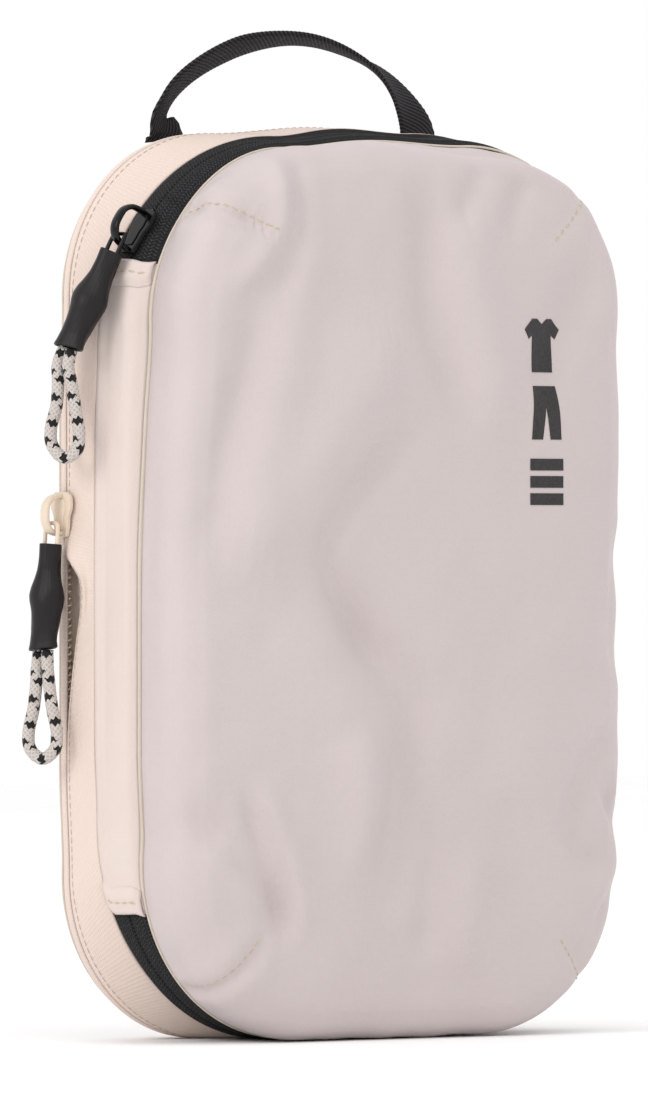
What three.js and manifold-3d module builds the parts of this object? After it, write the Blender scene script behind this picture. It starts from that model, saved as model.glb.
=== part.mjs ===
// Compression packing cube with a wrap-round main zip, a second zip that closes a fold of gusset
// all the way round, and a webbing grab handle.
// Millimetres. X is the width, Y the depth (the front panel faces -Y), Z is up, z = 0 is the ground.
import * as THREE from 'three';
import Module from 'manifold-3d';
import { mergeVertices } from 'three/addons/utils/BufferGeometryUtils.js';

// ---------- driving dimensions ----------
const HALF_WIDTH = 88;           // widest body outline at its corners
const HEIGHT = 261;              // body without the handle
const SIDE_BOW = 1;              // the sides swell by this much between the corners
const SIDE_RAMP = 30;            // length over which the swell builds up
const TOP_BOW = 2.5;             // the top swells by this much

const FRONT_SEAM_Y = -22;        // front panel to zip band
const MAIN_ZIP_Y = -15;          // line of the main zip
const MIDDLE_SEAM_Y = -8;        // zip band to compression band
const COMPRESSION_ZIP_Y = 4;     // line of the compression zip
const BACK_SEAM_Y = 12;          // compression band to back panel
const BAND_FLAT_Y = [-19.6, -10.4];  // the zip band lies flat between these, under the slider
const FRONT_CROWN_Y = -49.3;     // furthest swell of the front panel
const BACK_CROWN_Y = 22;         // furthest swell of the back panel

const SEAM_GAP = 0.3;            // clearance between neighbouring pieces
const ZIP_HALF_GAP = 0.7;        // from a zip's line to the edge of its tape
const TAPE_THICKNESS = 0.9;
const PANEL_THICKNESS = 1.0;
const GUSSET_THICKNESS = 0.6;
const COIL_WIDTH = 1.6;
const COIL_DEPTH = [1.2, 2.8];   // coil below the outer skin
const GUSSET_FRONT_DEPTH = 5.2;  // front leg of the folded gusset below the skin
const GUSSET_REAR_DEPTH = 6.3;   // rear leg of the folded gusset below the skin
const GUSSET_FOLD_Y = -19;       // where the gusset turns back on itself

const ZIP_UPPER_END = 22.8;      // degrees round the upper left corner, from the side
const ZIP_LOWER_END = 22.8;      // degrees round the lower left corner, from the side
const TAB_END = 16.3;            // the folded tabs over the zip's ends reach down to this angle
const LID_TAPE_START = 45;       // the lid's tape is loose between the zip end and this angle
const MAIN_SLIDER_ANGLE = 32;    // degrees round the upper left corner
const COMPRESSION_SLIDER_Z = 151;

const HANDLE_WIDTH = 15;
const HANDLE_THICKNESS = 1.5;
const SLEEVE_LENGTH = 30;
const CORD_RADIUS = 1.5;
const LINK_RADIUS = 0.6;

// Corner radius of the outline at a given depth: the zip band is rounder than the body behind it.
const CORNER_RADIUS = [[FRONT_SEAM_Y, 57], [BAND_FLAT_Y[0], 60], [BAND_FLAT_Y[1], 60],
  [MIDDLE_SEAM_Y, 65], [COMPRESSION_ZIP_Y, 47], [BACK_SEAM_Y, 50]];

// Inset of the skin from that outline at a given depth: round the sides, over the top, and
// underneath, where the body is flat enough to stand on.
const SIDE_SKIN = [[FRONT_SEAM_Y, 7.2], [BAND_FLAT_Y[0], 4.5], [BAND_FLAT_Y[1], 3.6],
  [MIDDLE_SEAM_Y, 1.3], [COMPRESSION_ZIP_Y, 0.1], [6.5, 0.6], [8, 1.6], [BACK_SEAM_Y, 4.7]];
const TOP_SKIN = [[FRONT_SEAM_Y, 5], [BAND_FLAT_Y[0], 2.9], [BAND_FLAT_Y[1], 2],
  [MIDDLE_SEAM_Y, 0.6], [COMPRESSION_ZIP_Y, 0], [8, 0.3], [BACK_SEAM_Y, 2.5]];
const BOTTOM_SKIN = [[FRONT_SEAM_Y, 1.2], [BAND_FLAT_Y[0], 0.4], [BAND_FLAT_Y[1], 0],
  [8, 0], [BACK_SEAM_Y, 1.6]];

const wasm = await Module();
wasm.setup();

// ---------- materials ----------
function fabric(color, roughness = 0.85) {
  return new THREE.MeshStandardMaterial({ color, roughness, metalness: 0 });
}
const material = {
  shell: fabric(0xd6cac9, 0.7),
  creamTape: fabric(0xd9cec4),
  blackTape: fabric(0x242427),
  binding: fabric(0xd8d0c2),
  webbing: fabric(0x3a353b, 0.9),
  blackCoil: fabric(0x1c1c1e, 0.45),
  creamCoil: fabric(0xcdbfa9, 0.45),
  blackSlider: fabric(0x101012, 0.2),
  creamSlider: fabric(0xd9cdb0, 0.35),
  sleeve: fabric(0x2b2729, 0.5),
  cord: fabric(0xd8d0c8),
};

// ---------- body outline ----------
const radians = THREE.MathUtils.degToRad;

function interpolate(table, y) {
  const after = table.findIndex(([position]) => position >= y);
  if (after <= 0) return after === 0 ? table[0][1] : table[table.length - 1][1];
  const [y0, v0] = table[after - 1];
  const [y1, v1] = table[after];
  return v0 + ((v1 - v0) * (y - y0)) / (y1 - y0);
}

// Towards its upper right corner the front of the body leans: the zip stands further forward and
// further out, and the top of the front panel draws in behind it.
const CORNER_FORWARD = 8;
const CORNER_OUTWARD = 1.8;
const TOP_DRAW_IN = 2.5;
const zipRadius = interpolate(CORNER_RADIUS, COMPRESSION_ZIP_Y);
const halfLevel = HALF_WIDTH - zipRadius;
const cornerArc = (zipRadius * Math.PI) / 2;

// The shares of both, at a distance clockwise from the middle of the top.
function leanAt(way) {
  const { smoothstep } = THREE.MathUtils;
  const rise = smoothstep(way, -10, halfLevel + 15);
  const fall = 1 - smoothstep(way, halfLevel + cornerArc / 2, halfLevel + cornerArc + 30);
  const drawn = smoothstep(way, -20, 15) * (1 - smoothstep(way, halfLevel, halfLevel + 0.45 * cornerArc));
  return { lean: rise * fall, drawn };
}
const NO_LEAN = { lean: 0, drawn: 0 };

// A station is a place round the outline. Its point for a corner radius r is (x + r rx, z + r rz),
// and (nx, nz) is the outward direction there.
function cornerStation(side, upper, degrees) {
  const vertical = upper ? 1 : -1;
  const nx = side * Math.cos(radians(degrees));
  const nz = vertical * Math.sin(radians(degrees));
  const corner = { x: side * HALF_WIDTH, z: upper ? HEIGHT : 0, rx: nx - side, rz: nz - vertical };
  const way = halfLevel + (1 - degrees / 90) * cornerArc;
  const { lean, drawn } = side > 0 && upper ? leanAt(way) : NO_LEAN;
  return { ...corner, nx, nz, lean, drawn, corner: `${upper ? 'upper' : 'lower'}${side}`, degrees };
}

// The straight runs are placed by where they lie along the compression zip.
function sideStation(side, height) {
  const straight = HEIGHT - 2 * zipRadius;
  const share = (height - zipRadius) / straight;
  const swell = SIDE_BOW * THREE.MathUtils.smoothstep(Math.min(share, 1 - share) * straight, 0, SIDE_RAMP);
  const x = side * (HALF_WIDTH + swell);
  const { lean, drawn } = side > 0 ? leanAt(halfLevel + cornerArc + HEIGHT - zipRadius - height) : NO_LEAN;
  return { x, z: HEIGHT * share, rx: 0, rz: 1 - 2 * share, nx: side, nz: 0, lean, drawn, height };
}

function levelStation(x, upper) {
  const share = x / halfLevel;
  const swell = upper ? TOP_BOW * Math.cos((share * Math.PI) / 2) ** 2 : 0;
  const z = upper ? HEIGHT + swell : 0;
  const { lean, drawn } = upper ? leanAt(x) : NO_LEAN;
  return { x: HALF_WIDTH * share, z, rx: -share, rz: 0, nx: 0, nz: upper ? 1 : -1, lean, drawn };
}

function evenSteps(from, to, count) {
  return Array.from({ length: count + 1 }, (_, i) => from + ((to - from) * i) / count);
}

// Once round the body, clockwise seen from the front, from the foot of the upper left corner.
const upperLeftAngles = [0, 8, TAB_END, ZIP_UPPER_END, 30, 37.5, ...evenSteps(LID_TAPE_START, 90, 5)];
const lowerLeftAngles = [...evenSteps(90, ZIP_LOWER_END, 6), TAB_END, 8, 0];
const leftHeights = [58, 70, 80, 90, 104, 118, 132, 139, 144, 160, 177, 190, 203];
const rightHeights = [192, 177, 80, 68];
const stations = [
  ...upperLeftAngles.map((angle) => cornerStation(-1, true, angle)),
  ...[-20, 0, 14, 28].map((x) => levelStation(x, true)),
  ...evenSteps(90, 0, 6).map((angle) => cornerStation(1, true, angle)),
  ...rightHeights.map((height) => sideStation(1, height)),
  ...evenSteps(0, 90, 6).map((angle) => cornerStation(1, false, angle)),
  ...[14, -14].map((x) => levelStation(x, false)),
  ...lowerLeftAngles.map((angle) => cornerStation(-1, false, angle)),
  ...leftHeights.map((height) => sideStation(-1, height)),
];

function cornerIndex(corner, degrees) {
  return stations.findIndex((s) => s.corner === corner && Math.abs(s.degrees - degrees) < 0.01);
}
function leftIndex(height) {
  return stations.findIndex((s) => s.nx === -1 && s.height === height);
}
const upperZipEnd = cornerIndex('upper-1', ZIP_UPPER_END);
const lowerZipEnd = cornerIndex('lower-1', ZIP_LOWER_END);
const lidTapeStart = cornerIndex('upper-1', LID_TAPE_START);

// The stations from one index round to another, each end drawn in by half a seam gap.
function stretch(from, to) {
  const count = (to - from + stations.length) % stations.length;
  const run = Array.from({ length: count + 1 }, (_, i) => stations[(from + i) % stations.length]);
  const drawIn = (end, next) => {
    const apart = skinPoint(end, MAIN_ZIP_Y, 0).distanceTo(skinPoint(next, MAIN_ZIP_Y, 0));
    const part = SEAM_GAP / 2 / apart;
    const mix = (key) => end[key] + (next[key] - end[key]) * part;
    const keys = ['x', 'z', 'rx', 'rz', 'nx', 'nz', 'lean', 'drawn'];
    return Object.fromEntries(keys.map((key) => [key, mix(key)]));
  };
  return [drawIn(run[0], run[1]), ...run.slice(1, -1), drawIn(run[count], run[count - 1])];
}

function skinInset(station, y) {
  const level = station.nz > 0 ? TOP_SKIN : BOTTOM_SKIN;
  return THREE.MathUtils.lerp(interpolate(SIDE_SKIN, y), interpolate(level, y), Math.abs(station.nz));
}

// How much of the lean is felt at depth y: none behind the compression zip, all at the main zip.
function leanShare(station, y) {
  return station.lean * THREE.MathUtils.smoothstep(-y, -COMPRESSION_ZIP_Y, 2.4 - MIDDLE_SEAM_Y);
}

// A point of the outline at depth y, drawn in by inset.
function outlinePoint(station, y, inset, skinY) {
  const radius = interpolate(CORNER_RADIUS, skinY);
  const x = station.x + radius * station.rx - inset * station.nx;
  return new THREE.Vector3(x, y, station.z + radius * station.rz - inset * station.nz);
}

// A point at depth y, the given distance below the outer skin.
function skinPoint(station, y, below) {
  const share = leanShare(station, y);
  const inset = skinInset(station, y) + below - CORNER_OUTWARD * share;
  return outlinePoint(station, y - CORNER_FORWARD * share, inset, y);
}

// A point of a panel's shoulder: it starts at the leaning rim and leaves the lean behind.
function shoulderPoint(station, y, below, rimY, wayIn) {
  const share = leanShare(station, rimY);
  const settled = THREE.MathUtils.smoothstep(wayIn, 0, 0.35);
  const drawn = rimY < 0 ? TOP_DRAW_IN * station.drawn : 0;
  const inset = skinInset(station, rimY) + below + drawn * settled - CORNER_OUTWARD * share * (1 - settled);
  return outlinePoint(station, y - CORNER_FORWARD * share * (1 - wayIn), inset, rimY);
}

// ---------- closed solids from rings of points ----------
function signedVolume(points, triangles) {
  let volume = 0;
  for (const [a, b, c] of triangles) {
    volume += points[a].dot(new THREE.Vector3().crossVectors(points[b], points[c]));
  }
  return volume;
}

function solid(points, triangles) {
  const outward = signedVolume(points, triangles) > 0;
  const index = triangles.flatMap(([a, b, c]) => (outward ? [a, b, c] : [a, c, b]));
  const geometry = new THREE.BufferGeometry();
  geometry.setAttribute('position', new THREE.Float32BufferAttribute(points.flatMap((p) => p.toArray()), 3));
  geometry.setIndex(index);
  return geometry;
}

// Joins equal rings of points in order. Open runs get ends of quads across the ring; closed runs
// join up.
function ringSolid(rings, closed) {
  const size = rings[0].length;
  const triangles = [];
  const joins = closed ? rings.length : rings.length - 1;
  for (let r = 0; r < joins; r += 1) {
    const next = (r + 1) % rings.length;
    for (let i = 0; i < size; i += 1) {
      const j = (i + 1) % size;
      const [a, b, c, d] = [r * size + i, r * size + j, next * size + j, next * size + i];
      triangles.push([a, b, c], [a, c, d]);
    }
  }
  const last = (rings.length - 1) * size;
  for (let i = 0; !closed && i < size / 2 - 1; i += 1) {
    const [a, b, c, d] = [i, i + 1, size - 2 - i, size - 1 - i];
    triangles.push([a, c, b], [a, d, c], [last + a, last + b, last + c], [last + a, last + c, last + d]);
  }
  return solid(rings.flat(), triangles);
}

// A band that follows the skin between several depths. The last depth may vary round the body.
function band(run, closed, depths, below, thickness, edgeShift = () => 0) {
  const rings = run.map((station) => {
    const shifted = depths.map((y, i) => y + (i === depths.length - 1 ? edgeShift(station) : 0));
    const outer = shifted.map((y) => skinPoint(station, y, below));
    const inner = shifted.map((y) => skinPoint(station, y, below + thickness));
    return [...outer, ...inner.reverse()];
  });
  return ringSolid(rings, closed);
}

// A dished panel: rows from the rim to the last ring, then rings shrunk towards the middle.
function dish(rimY, rows, crowns, crownY) {
  const middle = new THREE.Vector3(0, 0, HEIGHT / 2);
  const inwards = Math.sign(rimY - crownY);
  const surface = (offset) => {
    const lastY = rows[rows.length - 1][0];
    const rings = rows.map(([y, below, wallShare]) => stations.map((station) => shoulderPoint(
      station,
      y + inwards * offset * (1 - wallShare),
      below + offset * wallShare,
      rimY,
      (y - rimY) / (lastY - rimY),
    )));
    const lastRing = rings[rings.length - 1];
    crowns.forEach(([y, scale]) => rings.push(lastRing.map((p) => new THREE.Vector3(
      p.x * scale,
      y + inwards * offset,
      middle.z + (p.z - middle.z) * scale,
    ))));
    return rings;
  };
  const outer = surface(0);
  const inner = surface(PANEL_THICKNESS);
  const size = stations.length;
  const points = [...outer, ...inner].flat();
  const triangles = [];
  const joinRings = (first, second) => {
    for (let i = 0; i < size; i += 1) {
      const j = (i + 1) % size;
      const [a, b, c, d] = [first * size + i, first * size + j, second * size + j, second * size + i];
      triangles.push([a, b, c], [a, c, d]);
    }
  };
  const close = (ring, y, reversed) => {
    const tip = points.push(new THREE.Vector3(0, y, middle.z)) - 1;
    for (let i = 0; i < size; i += 1) {
      const [a, b] = [ring * size + i, ring * size + ((i + 1) % size)];
      triangles.push(reversed ? [b, a, tip] : [a, b, tip]);
    }
  };
  for (let r = 0; r < outer.length - 1; r += 1) {
    joinRings(r, r + 1);
    joinRings(outer.length + r + 1, outer.length + r);
  }
  joinRings(outer.length, 0);
  close(outer.length - 1, crownY, false);
  close(outer.length + inner.length - 1, crownY + inwards * PANEL_THICKNESS, true);
  return solid(points, triangles);
}

// ---------- joining solids ----------
function toManifold(geometry) {
  const plain = geometry.clone();
  plain.deleteAttribute('normal');
  plain.deleteAttribute('uv');
  const merged = mergeVertices(plain, 1e-4);
  return new wasm.Manifold(new wasm.Mesh({
    numProp: 3,
    vertProperties: new Float32Array(merged.attributes.position.array),
    triVerts: new Uint32Array(merged.index.array),
  }));
}

function union(geometries) {
  const joined = geometries.map(toManifold).reduce((sum, piece) => sum.add(piece));
  const mesh = joined.getMesh();
  const geometry = new THREE.BufferGeometry();
  geometry.setAttribute('position', new THREE.BufferAttribute(mesh.vertProperties, 3));
  geometry.setIndex(new THREE.BufferAttribute(mesh.triVerts, 1));
  return geometry;
}

// ---------- the fabric body ----------
const lidEdgeY = MAIN_ZIP_Y - ZIP_HALF_GAP;
const bodyEdgeY = MAIN_ZIP_Y + ZIP_HALF_GAP;
const frontCompressionEdgeY = COMPRESSION_ZIP_Y - ZIP_HALF_GAP;
const rearCompressionEdgeY = COMPRESSION_ZIP_Y + ZIP_HALF_GAP;
const everywhere = stations;
const zipRun = () => stretch(upperZipEnd, lowerZipEnd);
const lidZipRun = () => stretch(lidTapeStart, lowerZipEnd);
const lidLooseRun = () => stretch(upperZipEnd, lidTapeStart);
const spineRun = () => stretch(lowerZipEnd, upperZipEnd);

function frontPanel() {
  const y = FRONT_SEAM_Y;
  const rows = [[y, 0, 1], [y - 6, -0.8, 1], [y - 13, -0.8, 0.85], [y - 18, 2, 0.5], [y - 21.5, 7.5, 0.2]];
  return dish(y, rows, [[y - 24.6, 0.7], [y - 26.6, 0.36]], FRONT_CROWN_Y);
}

function backPanel() {
  const y = BACK_SEAM_Y;
  const rows = [[y, 0, 1], [y + 3.5, 3, 0.8], [y + 6, 5.5, 0.5], [y + 7.8, 11, 0.2]];
  return dish(y, rows, [[y + 9, 0.7], [y + 9.7, 0.36]], BACK_CROWN_Y);
}

function mainTapeFront(run) {
  return band(run, false, [FRONT_SEAM_Y + SEAM_GAP, BAND_FLAT_Y[0], lidEdgeY], 0, TAPE_THICKNESS);
}

function mainTapeRear(run) {
  return band(run, false, [MIDDLE_SEAM_Y - SEAM_GAP, BAND_FLAT_Y[1], bodyEdgeY], 0, TAPE_THICKNESS);
}

function coil(run, closed, edgeY, side, edgeShift) {
  const depths = [edgeY + side * COIL_WIDTH, edgeY];
  const shiftBoth = edgeShift ?? (() => 0);
  const rings = run.map((station) => {
    const [far, near] = depths.map((y) => y + shiftBoth(station));
    return [
      skinPoint(station, far, COIL_DEPTH[0]),
      skinPoint(station, near, COIL_DEPTH[0]),
      skinPoint(station, near, COIL_DEPTH[1]),
      skinPoint(station, far, COIL_DEPTH[1]),
    ];
  });
  return ringSolid(rings, closed);
}

function seamBinding(depths) {
  return band(everywhere, true, depths, 1.2, 1.1);
}

function zipEndTab(from, to) {
  return band(stretch(from, to), false, [MIDDLE_SEAM_Y - SEAM_GAP, BAND_FLAT_Y[1], bodyEdgeY], -1.2, 0.9);
}

// Below the compression slider the zip has not been closed, so its front tape falls away there.
function unclosedShift(station) {
  if (station.nx !== -1) return 0;
  const { z } = skinPoint(station, COMPRESSION_ZIP_Y, 0);
  return interpolate([[80, 0], [90, -1.2], [104, -3], [118, -5], [132, -7], [139, -5.5], [144, 0]], z);
}

function compressionTapeFront() {
  const depths = [MIDDLE_SEAM_Y + SEAM_GAP / 2, frontCompressionEdgeY];
  return band(everywhere, true, depths, 0, TAPE_THICKNESS, unclosedShift);
}

function compressionTapeRear() {
  const depths = [rearCompressionEdgeY, 6.5, 8, BACK_SEAM_Y - SEAM_GAP];
  return band(everywhere, true, depths, 0, TAPE_THICKNESS);
}

function gussetFrontLeg() {
  const depths = [GUSSET_FOLD_Y, BAND_FLAT_Y[1], MIDDLE_SEAM_Y, GUSSET_MIDDLE_Y, 2.7];
  return band(everywhere, true, depths, GUSSET_FRONT_DEPTH, GUSSET_THICKNESS);
}

// The rear leg in two parts: the tuck under the zip band, and the rest back to the rear seam.
const GUSSET_PART_Y = -9.2;
const GUSSET_MIDDLE_Y = -3.2;

function gussetRearCourse(course) {
  const rings = everywhere.map((station) => {
    const outer = course.map(([y, below]) => skinPoint(station, y, below));
    const inner = course.map(([y, below]) => skinPoint(station, y, below + GUSSET_THICKNESS));
    return [...outer, ...inner.reverse()];
  });
  return ringSolid(rings, true);
}

function gussetRearTuck() {
  const level = [GUSSET_FOLD_Y, BAND_FLAT_Y[1], GUSSET_PART_Y - SEAM_GAP / 2];
  return gussetRearCourse(level.map((y) => [y, GUSSET_REAR_DEPTH]));
}

function gussetRearLeg() {
  const level = [GUSSET_PART_Y + SEAM_GAP / 2, MIDDLE_SEAM_Y, GUSSET_MIDDLE_Y, COMPRESSION_ZIP_Y, 6.8];
  return gussetRearCourse([...level.map((y) => [y, GUSSET_REAR_DEPTH]), [9, 3.6], [BACK_SEAM_Y - 0.6, 2.7]]);
}

// ---------- grab handle ----------
const handleY = BACK_SEAM_Y + 0.9;

function handleWebbing() {
  const footLift = 1.3;
  const footX = 46.5;
  const foot = skinPoint(topCornerAt(footX), BACK_SEAM_Y, -footLift);
  const line = [
    [-footX, foot.z], [-footX - 0.3, foot.z + 2.4], [-48, 265.5], [-44.9, 271.9], [-36.9, 278.8],
    [-21.6, 286], [-2, 289.3], [12, 288.2], [26.5, 283.4], [35.2, 278.2], [41.7, 271.4], [45.9, 264.5],
    [footX, foot.z + 2.4], [footX, foot.z],
  ];
  const centreLine = line.map(([x, z]) => new THREE.Vector3(x, handleY, z));
  const path = new THREE.CatmullRomCurve3(centreLine, false, 'centripetal');
  const rings = evenSteps(0, 1, 28).map((t) => {
    const centre = path.getPointAt(t);
    const along = path.getTangentAt(t);
    const outwards = new THREE.Vector3(-along.z, 0, along.x);
    const across = new THREE.Vector3(0, -Math.cos(handleTwist(t)), 0)
      .addScaledVector(outwards, -Math.sin(handleTwist(t)));
    const face = new THREE.Vector3().crossVectors(along, across);
    return [[-1, -1], [1, -1], [1, 1], [-1, 1]].map(([w, f]) => centre.clone()
      .addScaledVector(across, (w * HANDLE_WIDTH) / 2)
      .addScaledVector(face, (f * HANDLE_THICKNESS) / 2));
  });
  return ringSolid(rings, false);
}

// The webbing is sewn along the seam at both feet and makes a quarter turn up each leg, so that
// it lies nearly flat across the hand at the top. Shares of its length, and degrees of turn.
const HANDLE_TURN = [[0, -88], [0.02, -80], [0.06, -46], [0.2, -37], [0.33, -32], [0.5, -13], [0.72, 14],
  [0.81, 38], [0.9, 61], [0.96, 78], [1, 88]];
function handleTwist(t) {
  return radians(interpolate(HANDLE_TURN, t));
}

function topCornerAt(x) {
  const radius = interpolate(CORNER_RADIUS, BACK_SEAM_Y);
  const sine = (x - (HALF_WIDTH - radius)) / radius;
  return cornerStation(1, true, 90 - THREE.MathUtils.radToDeg(Math.asin(sine)));
}

// ---------- zip sliders and pulls ----------
// A slider is drawn lying on the tape: x along the zip, y across it, z outwards from the skin.
const PLATE_HEIGHT = [0.5, 1.9];
const INNER_PLATE_HEIGHT = [-4.5, -3.75];
const MAIN_SLIDER = {
  halfLength: 7.2,
  crown: { from: -7, to: 6, height: 10 },
  eye: { x: -4.2, z: 6.3 },
};
const COMPRESSION_SLIDER = {
  halfLength: 6.4,
  crown: { from: -6, to: 5.6, height: 8 },
  eye: { x: -2.6, z: 4.7 },
};

function plateShape(halfLength, halfWidth) {
  const shape = new THREE.Shape();
  shape.moveTo(-halfLength, -halfWidth * 0.62);
  shape.lineTo(-halfLength * 0.1, -halfWidth * 0.78);
  shape.lineTo(halfLength * 0.3, -halfWidth);
  shape.lineTo(halfLength * 0.8, -halfWidth);
  shape.lineTo(halfLength, -halfWidth * 0.6);
  shape.lineTo(halfLength, halfWidth * 0.6);
  shape.lineTo(halfLength * 0.8, halfWidth);
  shape.lineTo(halfLength * 0.3, halfWidth);
  shape.lineTo(-halfLength * 0.1, halfWidth * 0.78);
  shape.lineTo(-halfLength, halfWidth * 0.62);
  shape.closePath();
  return shape;
}

function plate(halfLength, halfWidth, [from, to]) {
  const geometry = new THREE.ExtrudeGeometry(plateShape(halfLength, halfWidth), {
    depth: to - from,
    bevelEnabled: false,
  });
  return geometry.translate(0, 0, from);
}

function roundedBar(x0, x1, z0, z1, radius) {
  const outline = new THREE.Path();
  outline.absarc(x1 - radius, z1 - radius, radius, 0, Math.PI / 2);
  outline.absarc(x0 + radius, z1 - radius, radius, Math.PI / 2, Math.PI);
  outline.lineTo(x0, z0);
  outline.lineTo(x1, z0);
  outline.closePath();
  return outline;
}

// The crown arches over the plate; the link passes under it.
function crown({ from, to, height }) {
  const width = 2.6;
  const wall = 1.6;
  const shape = new THREE.Shape(roundedBar(from, to, 1.2, height, 3.2).getPoints(5));
  shape.holes.push(new THREE.Path(roundedBar(from + wall, to - wall, 2.9, height - wall, 1.7).getPoints(4)));
  const geometry = new THREE.ExtrudeGeometry(shape, { depth: width, bevelEnabled: false, curveSegments: 4 });
  return geometry.rotateX(Math.PI / 2).translate(0, width / 2, 0);
}

function sliderBody(size) {
  const postHeight = PLATE_HEIGHT[0] - INNER_PLATE_HEIGHT[1] + 0.6;
  const postCentre = (PLATE_HEIGHT[0] + INNER_PLATE_HEIGHT[1]) / 2;
  const post = new THREE.BoxGeometry(4, 0.8, postHeight).translate(2, 0, postCentre);
  const outerPlate = plate(size.halfLength, 4.6, PLATE_HEIGHT);
  const innerPlate = plate(size.halfLength - 0.8, 3.7, INNER_PLATE_HEIGHT);
  return union([outerPlate, innerPlate, post, crown(size.crown)]);
}

// The wire link: a crossbar under the crown and a leg on each side of it down to the sleeve.
function pullLink(eye, direction, length) {
  const at = (y, along) => eye.clone().add(new THREE.Vector3(0, y, 0)).addScaledVector(direction, along);
  const halfSpan = 2.9;
  const legEnd = (sign) => at(sign * halfSpan, length - sign * halfSpan * direction.y);
  const side = (sign) => [legEnd(sign), at(sign * halfSpan, 1.6), at(sign * 2.6, 0.3), at(sign * 1.6, 0)];
  const path = new THREE.CatmullRomCurve3([...side(-1), ...side(1).reverse()], false, 'centripetal');
  return tubeAlong(path, LINK_RADIUS, 6, 22);
}

function tubeAlong(path, radius, sides, steps) {
  const section = new THREE.Shape();
  for (let i = 0; i < sides; i += 1) {
    const angle = (2 * Math.PI * i) / sides;
    section[i ? 'lineTo' : 'moveTo'](radius * Math.cos(angle), radius * Math.sin(angle));
  }
  section.closePath();
  return new THREE.ExtrudeGeometry(section, { steps, extrudePath: path, bevelEnabled: false });
}

// The shrunk sleeve over the cord's knot: share of its length, half width across, half depth.
const SLEEVE_SECTIONS = [[0, 3.6, 3.3], [0.25, 3.9, 3.6], [0.42, 5.3, 4.2], [0.56, 5.9, 4.5],
  [0.76, 4.9, 4], [0.9, 4.8, 3.7], [1, 5.3, 3.8]];

function pullSleeve(top, direction, slimness) {
  const across = new THREE.Vector3(0, 1, 0).addScaledVector(direction, -direction.y).normalize();
  const through = new THREE.Vector3().crossVectors(direction, across);
  const rings = SLEEVE_SECTIONS.map(([share, halfWidth, halfDepth]) => {
    const centre = top.clone().addScaledVector(direction, share * SLEEVE_LENGTH);
    return evenSteps(0, 2 * Math.PI, 12).slice(0, -1).map((angle) => centre.clone()
      .addScaledVector(across, halfWidth * slimness * Math.cos(angle))
      .addScaledVector(through, halfDepth * slimness * Math.sin(angle)));
  });
  return ringSolid(rings, false);
}

// The free loop of cord: out of the sleeve, round and back in. Offsets are across (y) and down.
function cordLoop(sleeveEnd, direction) {
  const side = [[1.8, 0.3], [1.9, 5], [2.7, 11], [4, 18], [5, 24.5], [4.2, 29.3]];
  const down = new THREE.Vector3(0, 0, -1);
  const place = ([y, along]) => {
    const settle = THREE.MathUtils.smoothstep(along, 0, 14);
    const heading = direction.clone().lerp(down, settle * 0.9).normalize();
    return sleeveEnd.clone().addScaledVector(heading, along).add(new THREE.Vector3(0, y, 0));
  };
  const across = ([y, along]) => place([y, along - y * direction.y]);
  const points = [
    ...side.map(([y, along]) => across([-y, along])),
    place([0, 31.4]),
    ...side.reverse().map(across),
  ];
  return tubeAlong(new THREE.CatmullRomCurve3(points, false, 'centripetal'), CORD_RADIUS, 8, 26);
}

// Each slider turns about Y to lie along its zip.
const mainSliderTurn = -radians(90 - MAIN_SLIDER_ANGLE);
const mainSliderSeat = skinPoint(cornerStation(-1, true, MAIN_SLIDER_ANGLE), MAIN_ZIP_Y, 0);
const compressionSliderTurn = -Math.PI / 2;
const compressionSliderSeat = skinPoint(sideStation(-1, COMPRESSION_SLIDER_Z), COMPRESSION_ZIP_Y, 0);

function eyeOf(size, seat, turn) {
  const eye = new THREE.Vector3(size.eye.x, 0, size.eye.z);
  return eye.applyAxisAngle(new THREE.Vector3(0, 1, 0), turn).add(seat);
}

const MAIN_LINK_LENGTH = 5.3;
const COMPRESSION_LINK_LENGTH = 5.7;
const mainEye = eyeOf(MAIN_SLIDER, mainSliderSeat, mainSliderTurn);
const mainPullDirection = new THREE.Vector3(-12.6, 7.4, -32.2).normalize();
const mainSleeveTop = mainEye.clone().addScaledVector(mainPullDirection, MAIN_LINK_LENGTH + 0.3);
const mainSleeveEnd = mainSleeveTop.clone().addScaledVector(mainPullDirection, SLEEVE_LENGTH);

const compressionEye = eyeOf(COMPRESSION_SLIDER, compressionSliderSeat, compressionSliderTurn);
const compressionPullDirection = new THREE.Vector3(-4.2, 0, -36.2).normalize();
const compressionSleeveTop = compressionEye.clone()
  .addScaledVector(compressionPullDirection, COMPRESSION_LINK_LENGTH + 0.3);
const compressionSleeveEnd = compressionSleeveTop.clone()
  .addScaledVector(compressionPullDirection, SLEEVE_LENGTH);

// ---------- assembly ----------
const group = new THREE.Group();

function add(name, geometry, surface) {
  const mesh = new THREE.Mesh(geometry, surface);
  mesh.name = name;
  group.add(mesh);
  return mesh;
}

function addSlider(name, size, seat, turn, surface) {
  const mesh = add(name, sliderBody(size), surface);
  mesh.position.copy(seat);
  mesh.rotation.y = turn;
}

// Lid: the front panel and the front half of the zip band.
add('front_panel', frontPanel(), material.shell);
add('front_seam_binding', seamBinding([-21.6, BAND_FLAT_Y[0], -18.9]), material.binding);
add('main_tape_front', mainTapeFront(lidZipRun()), material.blackTape);
add('main_tape_front_end', mainTapeFront(lidLooseRun()), material.blackTape);
add('main_coil_front', coil(lidZipRun(), false, lidEdgeY, -1), material.blackCoil);
add('main_coil_front_end', coil(lidLooseRun(), false, lidEdgeY, -1), material.blackCoil);
add('spine_front', mainTapeFront(spineRun()), material.shell);

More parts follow.
